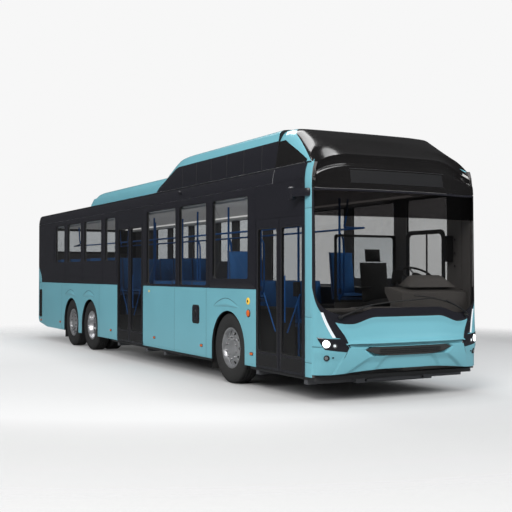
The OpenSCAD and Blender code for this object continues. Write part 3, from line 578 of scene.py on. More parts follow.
def curve(points, n):
    """n points on a smooth line through the given ones, a cubic between each two with slopes from their
    neighbours."""
    p = np.asarray(points, float)
    t = np.linspace(0, len(p) - 1, n)
    i = np.minimum(t.astype(int), len(p) - 2)
    k = (t - i)[:, None]
    ext = np.concatenate([[2 * p[0] - p[1]], p, [2 * p[-1] - p[-2]]])
    a, b, c, d = ext[i], ext[i + 1], ext[i + 2], ext[i + 3]
    return b + 0.5 * k * (c - a + k * (2 * a - 5 * b + 4 * c - d + k * (3 * (b - c) + d - a)))


def wall(side):
    """Places (x, z, depth) on a side wall; side is -1 on the right."""
    half = measures()[0].half_width
    return lambda u, v, w: np.stack([u + 0 * w, side * (half - w), v + 0 * w], -1)


def facing(x, slope=0.0, foot=0.0):
    """Places (y, z, depth) on an upright plane at x, which leans forward by slope above the height foot."""
    return lambda u, v, w: np.stack([x + slope * (v - foot) + w, u, v], -1)


def lean(z):
    """How far the front leans back at height z: under the lip with the square of the depth, above it a gentle
    start and then straight."""
    b = measures()[0]
    crest = b.crest_z - 0.023
    low = 0.055 * np.clip((b.lip_z - z) / (b.lip_z - b.bumper_z), 0, None) ** 2
    mid = 0.06 * smooth(b.lip_z, crest + 0.06, z)
    foot = 0.06 * smooth(b.lip_z, crest + 0.06, crest)
    high = foot + (b.screen_lean - 0.06) * (z - crest) / (b.screen_top - crest)
    return np.where(z < b.lip_z, low, np.where(z < crest, mid, high))


def nose(t, z, d):
    """The front at sweep t in degrees, -90 on the right, height z and depth d: back by the lean and by the
    nose depth times 1 - cos t, and out to the side with the 0.8th power of the sine."""
    b = measures()[0]
    s = np.abs(np.sin(np.radians(t)))
    x = b.nose_x - d - lean(z) * (1 - s**10) - (b.nose_depth - d) * (1 - np.cos(np.radians(t)))
    return np.stack(np.broadcast_arrays(x, np.sign(t) * (b.half_width - d) * s**0.8, z + 0 * d), -1)


def panel_top(t):
    """Upper edge of the painted front: a crest in the middle, a dip to each side and a steep rise into the
    pillars."""
    s = np.abs(t)
    return measures()[0].crest_z - 0.083 * smooth(17, 36, s) + 0.44 * np.clip((s - 36) / 53, 0, 1) ** 2.2


def tail(s, z, d):
    """The rear at distance s along its plan from the centre line, height z and depth d: a flat middle and two
    round corners."""
    b = measures()[0]
    flat = b.half_width - b.tail_radius
    turn = np.clip((np.abs(s) - flat) / b.tail_radius, 0, math.pi / 2)
    x = -b.nose_x + b.tail_radius - (b.tail_radius - d) * np.cos(turn)
    y = np.sign(s) * (np.minimum(np.abs(s), flat) + (b.tail_radius - d) * np.sin(turn))
    return np.stack([x, y, z + 0 * d], -1)


# ---------------------------------------------------------------- body pieces

BAY = -6.44  # rear bulkhead behind the hatch
AXLES = (4.01, -2.42, -3.72)
SIDES = ((-1, "right"), (1, "left"))
FRONT_DOOR, MID_DOOR = (4.88, 6.16, 2.30), (-0.71, 0.63, 2.53)  # fore and aft edges, height of the head
TAIL = -6.65  # rear face of the body


def brow(shape, side, axle):
    """A crescent over an arch: under a thin black tube along its upper edge, a painted shadow line, its face
    leans out as it falls, then runs back into the panel. Its width is 0.115 (1.04 - u^2), its upper edge
    1.10 + 0.12 (1 - |u|^1.8)."""

    def line(u):
        return 1.10 + 0.12 * (1 - np.abs(u) ** 1.8)

    def place(u, v, w):
        fall = np.interp(v, (0.0, 0.62, 0.80, 1.0), (0.0, 0.9, 0.8, 0.0))
        out = 0.017 * fall * np.sqrt(np.clip(1 - u**2, 0, 1))
        return wall(side)(axle - 0.06 + 0.41 * u, line(u) - 0.115 * v * (1.04 - u**2), faced(w, 0.0072 - out))

    u = np.linspace(-1, 1, 41)
    shape.slab(place, u, np.linspace(0, 1, 13), 0.025, 0.0005, "paint", 0.02, 0.01, "paint")
    # painted shadow: the thin black tube along the brow's upper edge stands for the shadow under that edge
    edge = wall(side)(axle - 0.06 + 0.41 * u, line(u) + 0.002, np.full(41, 0.0078))
    shape.tube(edge, 0.0035 * (1.02 - u**6), "black_satin", 6)


def skirt_run(shape, side, x0, x1):
    """A run of side panel from x0 to x1: its columns stand on the lower edge, which follows each arch's
    circle."""
    b = measures()[0]
    hub = measures()[1].tyre_radius
    xs = set(np.linspace(x0, x1, max(4, int((x1 - x0) / 0.07))).round(4))
    arches = [a for a in AXLES if x0 < a < x1]
    xs = [x for x in xs if all(abs(x - a) > b.arch_radius + 0.002 for a in arches)]
    for a in arches:
        turn = np.radians(np.linspace(0, 180, 41))
        xs += list(a - b.arch_radius * np.cos(turn)) + [a - b.arch_radius - 0.001, a + b.arch_radius + 0.001]
    xs = np.array(sorted(xs))
    low = b.skirt_z + 0.085 * np.clip((-5.69 - xs) / 0.70, 0, 1)
    for a in arches:
        inside = np.abs(xs - a) <= b.arch_radius + 1e-6
        low[inside] = hub + np.sqrt(np.clip(b.arch_radius**2 - (xs[inside] - a) ** 2, 0, None))
    index = np.arange(len(xs), dtype=float)
    put = wall(side)

    def place(u, v, w):
        x = np.interp(u, index, xs)
        foot = np.interp(u, index, low)
        return put(x, foot + (b.belt_z - b.seam / 2 - foot) * v, faced(w, 0.007))

    shape.slab(place, index, np.linspace(0, 1, 17), 0.045, 0.003, "paint", 0.04, 0.008)


class BUS_OT_lower_sides(bpy.types.Operator):
    """Side panels under the belt, with proud brows over the arches, seams and corner pillars"""

    bl_idname = "bus.lower_sides"
    bl_label = "Lower sides"

    def execute(self, context):
        b = measures()[0]
        shape = Shape()
        for side, _ in SIDES:
            runs = ((-6.39, FRONT_DOOR[1]),)
            if side < 0:
                runs = (-6.39, MID_DOOR[0]), (MID_DOOR[1], FRONT_DOOR[0])
            for x0, x1 in runs:
                skirt_run(shape, side, x0 + 0.002, x1 - 0.002)
            for axle in AXLES:
                brow(shape, side, axle)
            for x in (2.05, 3.28, -1.80, -4.45):
                seam = rounded(x - 0.0025, 0.32, x + 0.0025, 1.355, 0.001, 2)
                shape.plate(seam, wall(side), 0.0065, 0.02, "black_satin", 0.0004)
        shape.done("side_panels", "body", "body_paint", "side_skirts")
        shape = Shape()
        for side, _ in SIDES:

            def place(u, v, w):
                return wall(side)(u, v, w + np.interp(v, (2.76, 2.87, 2.95), (0, 0.014, 0.04)))

            for z0, z1 in ((b.skirt_z, 0.484), (0.488, 1.043), (1.047, 2.381), (2.385, 2.95)):
                u, v = np.linspace(6.166, 6.329, 5), np.linspace(z0, z1, 14)
                shape.slab(place, u, v, 0.045, 0.002, "paint", 0.003, 0.004, "pillar_grey")
        shape.done("pillar_covers", "body", "body_paint", "corner_pillars")
        return {"FINISHED"}


def panes(side):
    """Panes of one side as (front edge, back edge, window's back edge, window's width, sill)."""
    fore = [(0.63, 2.18, 0.82, 1.28, 1.40), (2.18, 3.395, 2.26, 1.02, 1.40), (3.395, 4.88, 3.51, 1.13, 1.505)]
    edges = (-0.71, -1.55, -2.90, -4.12, -5.07)
    aft = [(q, p, q + 0.125, p - q - 0.25, 1.83) for p, q in zip(edges, edges[1:])]
    more = [(-0.71, 0.63, -0.56, 1.04, 1.83), (4.88, 6.16, 4.94, 0.92, 1.28)] if side > 0 else []
    return fore + aft + more


class BUS_OT_side_glazing(bpy.types.Operator):
    """Bonded panes with black borders, the blind rear quarters and the headers over the doors"""

    bl_idname = "bus.side_glazing"
    bl_label = "Side glazing"

    def execute(self, context):
        b = measures()[0]
        s = b.seam / 2
        shape, clear = Shape(), Shape()
        for side, _ in SIDES:
            put = wall(side)
            for x0, x1, w0, width, sill in panes(side):
                outer = rounded(x0 + s, b.belt_z + s, x1 - s, b.band_z - s, 0.006)
                window = (w0, sill, w0 + width, 2.655)
                inner = grown(window, 0, 0.045)
                shape.border(outer, inner, put, 0.0, 0.008, "black_gloss")
                clear.plate(grown(window, 0.004, 0.048), put, 0.002, 0.007, "side_glass")
                shape.border(grown(window, 0.03, 0.06), inner, put, 0.008, 0.03, "rubber")
            shape.plate(
                rounded(-6.389, b.belt_z + s, -5.07 - s, b.band_z - s, 0.006), put, 0.0, 0.008, "black_gloss"
            )
            quarter = [
                (-5.10, 1.86), (-5.10, 2.70), (-5.60, 2.71), (-6.12, 2.70), (-6.14, 2.25), (-5.95, 2.08)
            ]
            quarter += [(-5.62, 1.90), (-5.30, 1.86), (-5.10, 1.86)]
            shape.plate(curve(quarter, 60)[:-1], put, -0.003, 0.004, "black_gloss")
            corner = np.array(
                [(-6.135, 1.367), (-6.16, 1.45), (-6.22, 1.55), (-6.389, 1.70), (-6.389, 1.367)]
            )
            shape.plate(corner, put, -0.004, 0.006, "paint", 0.001)
        for x0, x1, top in (FRONT_DOOR, MID_DOOR):
            shape.plate(
                rounded(x0 + s, top + s, x1 - s, b.band_z - s, 0.006), wall(-1), 0.0, 0.012, "black_gloss"
            )
            raised = rounded(x0 + 0.05, top + 0.06, x1 - 0.05, b.band_z - 0.05, 0.02)
            shape.plate(raised, wall(-1), -0.002, 0.004, "black_gloss")
        shape.done("pane_borders", "body", "black_gloss", "side_glass")
        clear.done("side_panes", "body", "tinted_glass")
        return {"FINISHED"}


def roof_half(d):
    """Half of the roof's section as (y, z), inset by d."""
    side = [(1.275 - d, 2.76), (1.272 - d, 2.80), (1.261 - d, 2.87), (1.240 - d, 2.945)]
    return side + [(1.228 - d, 2.958), (1.205 - d, 2.975 - d * 0.6), (0.975 - d, 3.01 - d), (0.575, 3.04 - d)]


class BUS_OT_roof(bpy.types.Operator):
    """Roof skin with its dark coves and bright gutter, swept along the bus and rounded into the rear
    corners"""

    bl_idname = "bus.roof"
    bl_label = "Roof"

    def execute(self, context):
        b = measures()[0]
        shape = Shape()
        half, under = np.array(roof_half(0)), np.array(roof_half(0.06))
        ring = np.concatenate([half * (-1, 1), half[::-1], under, under[::-1] * (-1, 1)])
        turn = np.radians(np.linspace(90, 0, 12))
        xs = np.concatenate(
            [-b.nose_x + b.tail_radius - b.tail_radius * np.sin(turn), np.linspace(-6.2, 5.345, 40)]
        )
        cut = np.concatenate([b.tail_radius * (1 - np.cos(turn)), np.zeros(40)])
        rows = []
        for x, c in zip(xs, cut):
            y = np.sign(ring[:, 0]) * (np.abs(ring[:, 0]) - np.where(np.abs(ring[:, 0]) > 0.9, c, 0))
            drop = 0.09 * (c / b.tail_radius) ** 2 * (ring[:, 1] > 2.9)
            rows.append(np.stack([0 * y + x, y, ring[:, 1] - drop], -1))
        n = len(half)
        slots = np.array([shape.slot("roof_paint")] * len(ring))
        dark = shape.slot("black_gloss")
        slots[: 5] = dark
        slots[2 * n - 6 : 2 * n - 1] = dark
        slots[2 * n - 1 :] = shape.slot("lining")
        shape.loops(np.array(rows), np.tile(slots, len(rows) - 1))
        for side, _ in SIDES:
            cove = np.array(roof_half(0)[:4] + [(1.236, 2.97), (1.165, 2.97), (1.20, 2.76)])
            rows = [
                np.stack([np.full(7, x), side * cove[:, 0], cove[:, 1]], -1)
                for x in np.linspace(5.35, 6.16, 6)
            ]
            shape.loops(rows, "black_gloss")
            shape.tube([(x, side * 1.236, 2.962) for x in np.linspace(-6.30, 6.10, 30)], 0.0065, "steel", 8)
        full = b.half_width - b.tail_radius + b.tail_radius * math.pi / 2

        def cove(u, v, w):
            z = 2.762 + 0.188 * v
            return tail(
                u, z, w + np.interp(z, (2.76, 2.80, 2.87, 2.945, 2.96), (0, 0.003, 0.014, 0.035, 0.07))
            )

        shape.slab(
            cove, np.linspace(-full, full, 80), np.linspace(0, 1, 9), 0.09, 0.002, "black_gloss", 0.004, 0.02,
            "black_gloss"
        )
        shape.done("roof_skin", "body", "roof_paint", "roof")
        return {"FINISHED"}


def housing(shape, xs, tops, foot, strip, side_slot, top_slot, strip_slot):
    """A roof housing swept along X: a nearly upright side up to the strip, then a sloping shoulder and a flat
    crown."""
    rows = []
    for x, top, low in zip(xs, tops, strip):
        low = min(low, top - 0.02)
        half = [
            (0, 2.965), (0.002, 0.5 * (2.965 + low)), (0.008, low), (0.010, low + 0.004), (0.030, top - 0.075)
        ]
        half += [(0.055, top - 0.04), (0.10, top - 0.018), (0.17, top - 0.009), (0.6, top)]
        half = np.array([(foot - y, z) for y, z in half])
        half[:, 1] = np.maximum.accumulate(half[:, 1])
        ring = np.concatenate([half * (-1, 1), half[::-1]])
        rows.append(np.column_stack([np.full(len(ring), x), ring]))
    kinds = [shape.slot(side_slot)] * 3 + [shape.slot(strip_slot)] * 4 + [shape.slot(top_slot)]
    slots = np.array(kinds + [shape.slot(top_slot)] + kinds[::-1] + [shape.slot("black_satin")])
    shape.loops(np.array(rows), np.tile(slots, len(rows) - 1))


class BUS_OT_roof_housings(bpy.types.Operator):
    """The tall battery housing with its painted shoulder strip, and the low painted one behind it"""

    bl_idname = "bus.roof_housings"
    bl_label = "Roof housings"

    def execute(self, context):
        xs = np.concatenate([np.linspace(1.03, 2.30, 22), np.linspace(2.5, 5.344, 12)])
        tops = np.interp(
            xs, (1.03, 1.49, 1.83, 2.00, 2.12, 2.28, 2.45), (2.99, 3.27, 3.41, 3.465, 3.488, 3.497, 3.5)
        )
        strip = np.interp(xs, (1.03, 1.12, 1.90, 1.98, 2.06), (2.975, 3.035, 3.30, 3.318, 3.325))
        shape = Shape()
        housing(shape, xs, tops, 1.19, strip, "black_gloss", "black_satin", "paint")
        for side, _ in SIDES:
            for x in (2.20, 2.74, 3.28, 3.82, 4.36, 4.90):
                put = lambda u, v, w: np.stack([u, side * (1.191 - w - 0.02 * (v - 2.97)), v], -1)
                shape.plate(
                    rounded(x - 0.003, 2.99, x + 0.003, 3.315, 0.001, 2), put, -0.001, 0.01, "cab_black",
                    0.0004
                )
        shape.done("battery_housing", "body", "black_gloss", "front_pod")
        xs = np.concatenate([np.linspace(-2.66, -2.0, 14), np.linspace(-1.8, 1.46, 12)])
        tops = np.interp(xs, (-2.66, -2.36, -2.24, -2.05), (3.03, 3.20, 3.23, 3.24))
        shape = Shape()
        housing(shape, xs, tops, 1.17, 0 * xs + 3.12, "paint", "paint", "paint")
        for side, _ in SIDES:
            shape.block(
                (-2.1, side * 1.02 - 0.003, 3.228), (1.4, side * 1.02 + 0.003, 3.2335), "black_satin", 0.001
            )
        shape.done("rear_housing", "body", "body_paint", "rear_pod")
        return {"FINISHED"}


# Rows of the dome, from the windscreen's edge to the housing: distance behind the nose at the middle, height,
# distance at the sides, share of the nose's plan, height at the sides
DOME_ROWS = (
    (0.215, 2.636, 0.320, 1.00, 2.636),
    (0.222, 2.690, 0.320, 1.00, 2.660),
    (0.252, 2.860, 0.320, 1.00, 2.720),
    (0.276, 2.925, 0.320, 0.97, 2.745),
    (0.345, 2.965, 0.330, 0.92, 2.765),
    (0.368, 3.035, 0.335, 0.88, 2.790),
    (0.372, 3.085, 0.340, 0.84, 2.830),
    (0.425, 3.112, 0.360, 0.72, 2.880),
    (0.600, 3.225, 0.440, 0.35, 2.970),
    (0.775, 3.345, 0.850, 0.00, 2.970),
    (0.975, 3.455, 0.990, 0.00, 2.970),
    (1.115, 3.490, 1.200, 0.00, 2.970),
    (1.300, 3.499, 1.300, 0.00, 2.970),
)


def dome(t, k, d):
    """The dome at sweep t, row k and depth d: between the nose's plan and a straight one, its ends falling to
    the gutter."""
    b = measures()[0]
    rows = np.array(DOME_ROWS)
    mid, top, end, share, foot = (np.interp(k, np.arange(len(rows)), rows[:, i]) for i in range(5))
    s, c = np.abs(np.sin(np.radians(t))), np.cos(np.radians(t))
    near = mid * (1 - s**10) + b.nose_depth * (1 - c)
    far = mid + (end - mid) * (1 - c)
    fall = share * smooth(28, 88, np.abs(t)) + (1 - share) * s**14
    half = b.half_width - 0.04 * smooth(0, 9, k) - d
    x = b.nose_x - share * near - (1 - share) * far - d * c
    return np.stack([x, np.sign(t) * half * s**0.8, top - (top - foot) * fall - d * smooth(6, 9, k)], -1)


class BUS_OT_front_dome(bpy.types.Operator):
    """Black dome over the windscreen: display band, overhanging lip and the slope up to the housing"""

    bl_idname = "bus.front_dome"
    bl_label = "Front dome"

    def execute(self, context):
        shape = Shape()
        main, screen = shape.slot("dome_livery"), shape.slot("black_satin")
        t = np.concatenate([np.linspace(-90, -32, 40), np.linspace(-30, 30, 31), np.linspace(32, 90, 40)])
        k = np.concatenate([np.linspace(0, 7, 57), np.linspace(7, 12, 31)[1:]])

        def slot(gu, gv):
            mid_t = (gu[1:, 1:] + gu[:-1, :-1]) / 2
            mid_k = (gv[1:, 1:] + gv[:-1, :-1]) / 2
            return np.where((np.abs(mid_t) < 30) & (mid_k > 1.1) & (mid_k < 2.2), screen, main)

        shape.slab(dome, t, k, 0.025, 0.002, slot, 0.3, 0.02)
        # the steel tube is a painted highlight, standing for the bright line along the crease above the
        # display; the black one runs near the display's lower edge
        for z, line_finish in ((2.712, "black_satin"), (2.888, "steel")):
            shape.tube(nose(np.linspace(-31, 31, 40), z, 0.006), 0.003, line_finish, 6)
        shape.done("dome_shell", "body", "black_gloss", "front_dome", sharp=50)
        return {"FINISHED"}


class BUS_OT_windscreen(bpy.types.Operator):
    """Bonded windscreen wrapped round to the pillars, with a printed border and a dark header"""

    bl_idname = "bus.windscreen"
    bl_label = "Windscreen"

    def execute(self, context):
        b = measures()[0]
        shape = Shape()
        clear, header, dark = (shape.slot(name) for name in ("screen_glass", "header_glass", "black_gloss"))

        def place(t, v, w):
            low = panel_top(t) + b.seam
            print_top = low + 0.105 - 0.03 * smooth(50, 80, np.abs(t))
            stops = [low, print_top, 0 * low + 2.29, 0 * low + 2.605, 0 * low + b.screen_top]
            z = sum(np.clip(v - i, 0, 1) * (stops[i + 1] - stops[i]) for i in range(4)) + low
            return nose(t, z, w)

        def slot(gt, gv):
            mid_t = np.abs(gt[1:, 1:] + gt[:-1, :-1]) / 2
            mid_v = (gv[1:, 1:] + gv[:-1, :-1]) / 2
            kind = np.where(mid_v > 3, dark, np.where(mid_v > 2, header, np.where(mid_v > 1, clear, dark)))
            return np.where(mid_t > 79, dark, kind)

        t = np.concatenate(
            [np.linspace(-88.5, -79, 6)[:-1], np.linspace(-79, 79, 101), np.linspace(79, 88.5, 6)[1:]]
        )
        v = np.concatenate(
            [np.linspace(0, 1, 6), np.linspace(1, 2, 17)[1:], np.linspace(2, 3, 6)[1:], [3.5, 4.0]]
        )
        shape.slab(place, t, v, 0.008, 0.002, slot, 0.1, 0.02, "black_gloss")
        shape.done("screen", "body", "tinted_glass", "windscreen", sharp=60)
        return {"FINISHED"}


def bumper_depth(t, z):
    """Relief of the bumper: a ledge under the lip, a pointed slot for the grille, and under it a wide facet
    that leans in between two slanted folds."""
    s = np.abs(t)
    ledge = 0.026 * smooth(0.668, 0.700, z) * (1 - smooth(34, 46, s))
    slot = 0.060 * (
        1 - smooth(0.90, 1.0, np.maximum(np.abs(z - 0.624) / 0.056, (s + 70 * np.abs(z - 0.645)) / 28))
    )
    middle = 0.045 * smooth(0.590, 0.545, z) * (1 - smooth(0, 2.2, s - 10.5 - 42 * (0.58 - z)))
    outer = 0.030 * smooth(0.0, 0.13, 0.600 - z) * (1 - smooth(0, 3.0, s - 17.5 - 88 * (0.60 - z)))
    corner = 0.020 * smooth(0.64, 0.50, z) * smooth(0, 3, s - 41 - 40 * (0.62 - z)) * (1 - smooth(80, 88, s))
    return ledge + slot + np.maximum(middle, outer) + corner


class BUS_OT_front_panels(bpy.types.Operator):
    """Painted front panel with its folded lip, and the bumper under it with ledge, grille and facets"""

    bl_idname = "bus.front_panels"
    bl_label = "Front panels"

    def execute(self, context):
        b = measures()[0]
        t = np.linspace(-90, 90, 181)

        def lip(u):
            return 0.03 * smooth(36, 50, np.abs(u))

        def panel(u, v, w):
            low = 0.722 - lip(u)
            z = low + (panel_top(u) - low) * v
            dish = 0.016 * smooth(0.0, 0.35, v) * (1 - smooth(0.75, 1.0, v)) * (1 - smooth(38, 52, np.abs(u)))
            bulge = 0.024 * (1 - smooth(30, 46, np.abs(u))) * (1 - smooth(0.02, 0.20, v))
            return nose(u, z, faced(w, dish - bulge))

        shape = Shape()
        v = np.concatenate([np.linspace(0, 0.24, 13), np.linspace(0.27, 1, 15)])
        shape.slab(panel, t, v, 0.03, 0.003, "paint", 0.25, 0.012)
        shape.done("front_cover", "body", "body_paint", "front_panel", sharp=50)

        def bumper(u, v, w):
            low = b.bumper_z + 0.055 * (1 - smooth(10, 60, np.abs(u)))
            z = low + (0.716 - lip(u) - low) * v
            return nose(u, z, np.where(w < FACE, w + bumper_depth(u, z), w + 0.05))

        shape = Shape()
        shape.slab(bumper, t, np.linspace(0, 1, 61), 0.06, 0.004, "paint", 0.25, 0.008)
        half = [(27.5, 0.646), (20.0, 0.594), (12.0, 0.567), (0, 0.566)]
        grille = [(-27.5, 0.646), (-21.0, 0.679), (0, 0.682), (21.0, 0.679)] + half
        nose_patch(shape, grille + [(-t, z) for t, z in half[2:0:-1]], 0.016, 0.02, "cab_black")
        for z in (0.600, 0.622, 0.646):
            shape.tube(nose(np.linspace(-17, 17, 24), z, 0.012), 0.004, "black_satin", 6)
        for side, _ in SIDES:
            # painted shade: a thin black tube along each slanted fold stands for the shade in its crease
            fold = nose(
                np.linspace(41.5, 50, 12) * side, np.linspace(0.622, 0.39, 12), np.linspace(0.0, 0.012, 12)
            )
            shape.tube(fold, 0.0035, "black_satin", 6)
        shape.done("bumper_cover", "body", "body_paint", "front_bumper", sharp=50)
        return {"FINISHED"}


def nose_patch(shape, loop, depth, thick, slot, rows=6):
    """A piece lying on the front: the outline loop in (sweep, height) is shrunk on its middle row by row, at
    one depth."""
    loop = np.asarray(loop, float)
    fine = np.concatenate([np.linspace(p, q, 8, endpoint=False) for p, q in zip(loop, np.roll(loop, -1, 0))])
    mid = loop.mean(0)
    steps = np.linspace(0.04, 1, rows)
    back = [(k, thick) for k in steps]
    front = [(1, EASE), (0.985, 0)] + [(k, 0) for k in steps[-2::-1]]
    shape.loops(np.array([nose(*(mid + (fine - mid) * k).T, depth + w) for k, w in back + front]), slot)


def nose_disc(t, z, r, n=32):
    """A circle of radius r on the front, as an outline in (sweep, height)."""
    a = around(n)
    run = np.linalg.norm(nose(t + 0.5, z, 0.0) - nose(t - 0.5, z, 0.0))
    return np.stack([t + r / run * np.cos(a), z + r * np.sin(a)], -1)

# outline in (sweep, height), depth, thickness, finish: the lamp's bowl, the black fang and the day strip
LAMP_PATCHES = (
    (
        (
            (-77.0, 0.806), (-61, 0.792), (-45.5, 0.786), (-39.7, 0.676), (-41.5, 0.626), (-55.6, 0.646),
            (-64.4, 0.658)
        ),
        -0.004, 0.012, "black_gloss"
    ),
    (
        (
            (-64.0, 1.107), (-58.5, 1.087), (-50.6, 0.986), (-43.4, 0.83), (-38.4, 0.672), (-42.5, 0.735),
            (-47.5, 0.795), (-51.4, 0.80)
        ),
        -0.003, 0.010, "black_gloss"
    ),
    (((-68.2, 1.109), (-64.2, 1.107), (-51.6, 0.802), (-54.8, 0.802)), -0.005, 0.012, "day_strip"),
)
# sweep, height, radius, depth, thickness, finish
LAMP_DISCS = (
    (62.5, 0.728, 0.055, -0.006, 0.004, "lamp_bowl"),
    (62.5, 0.728, 0.044, -0.0085, 0.004, "led_white"),
    (53.0, 0.706, 0.030, -0.006, 0.004, "lamp_bowl"),
    (53.0, 0.706, 0.016, -0.0085, 0.004, "day_strip"),
    (62.6, 0.556, 0.036, 0.004, 0.02, "black_gloss"),
    (62.6, 0.556, 0.022, 0.001, 0.01, "lamp_bowl"),
    (55.0, 0.560, 0.010, 0.004, 0.02, "black_gloss"),
)


class BUS_OT_front_lamps(bpy.types.Operator):
    """Headlamps, day running strips, fog lamps and the black fangs beside them"""

    bl_idname = "bus.front_lamps"
    bl_label = "Front lamps"

    def execute(self, context):
        shape = Shape()
        for side, _ in SIDES:
            turn = np.array([side * -1.0, 1.0])
            for outline, depth, thick, slot in LAMP_PATCHES:
                nose_patch(shape, np.array(outline) * turn, depth, thick, slot)
            for t, z, r, depth, thick, slot in LAMP_DISCS:
                nose_patch(shape, nose_disc(t * side, z, r), depth, thick, slot, 4)
        shape.done("front_lamps", "body", "lamp_lens", "headlamps", sharp=50)
        return {"FINISHED"}


class BUS_OT_wipers_and_cameras(bpy.types.Operator):
    """Wiper arms with their blades on the windscreen, and the camera arms on the pillars"""

    bl_idname = "bus.wipers_and_cameras"
    bl_label = "Wipers and camera arms"

    def execute(self, context):
        shape = Shape()

        def run(points, lift):
            return nose(*curve(points, 24).T, -lift)

        for arm, blade in (
            (
                ((-45.5, 1.045), (-36, 1.10), (-20.5, 1.195)),
                ((-32, 1.155), (-20, 1.195), (0, 1.245), (14, 1.272))
            ),
            (((47.5, 1.04), (38, 1.12), (22, 1.235)), ((33, 1.165), (22, 1.225), (8, 1.285), (2, 1.300))),
        ):
            shape.tube(run(arm, 0.036), np.linspace(0.015, 0.009, 24), "black_satin", 8)
            shape.tube(run(blade, 0.022), 0.008, "rubber", 8)
            shape.tube(run(blade, 0.010), 0.005, "rubber", 6)
            p = nose(*arm[0], 0.0)
            cap = [(0, -0.005), (0.026, -0.003), (0.024, 0.035), (0.015, 0.048), (0, 0.05)]
            shape.lathe(cap, p, (1, 0.35 * np.sign(p[1]), 0.05), "black_satin", 20)
        shape.done("wiper_arms", "body", "black_rubber", "wipers")
        shape = Shape()
        for side, _ in SIDES:
            plan = [(6.30, 1.278), (6.24, 1.325), (6.10, 1.395), (6.00, 1.425), (5.98, 1.40), (5.985, 1.345)]
            plan = curve(plan + [(6.08, 1.315), (6.20, 1.278)], 40)
            put = lambda u, v, w: np.stack([u, side * v, w], -1)
            shape.plate(plan, put, 2.53, 2.63, "black_gloss", 0.012)
            shape.plate(rounded(5.985, 1.335, 6.075, 1.424, 0.03), put, 2.49, 2.655, "black_gloss", 0.014)
            eye = [(0, 0), (0.02, 0), (0.018, 0.006), (0, 0.008)]
            shape.lathe(eye, (5.986, side * 1.38, 2.58), (-1, 0, 0), "lens_glass", 16)
        door_eye = [(0, 0), (0.035, 0), (0.033, 0.03), (0.015, 0.045), (0, 0.047)]
        shape.lathe(door_eye, (2.30, -1.262, 2.885), (0, -1, -0.6), "black_gloss", 20)
        shape.done("camera_arms", "body", "black_gloss", "mirror_cameras")
        return {"FINISHED"}


# ---------------------------------------------------------------- rear and doors


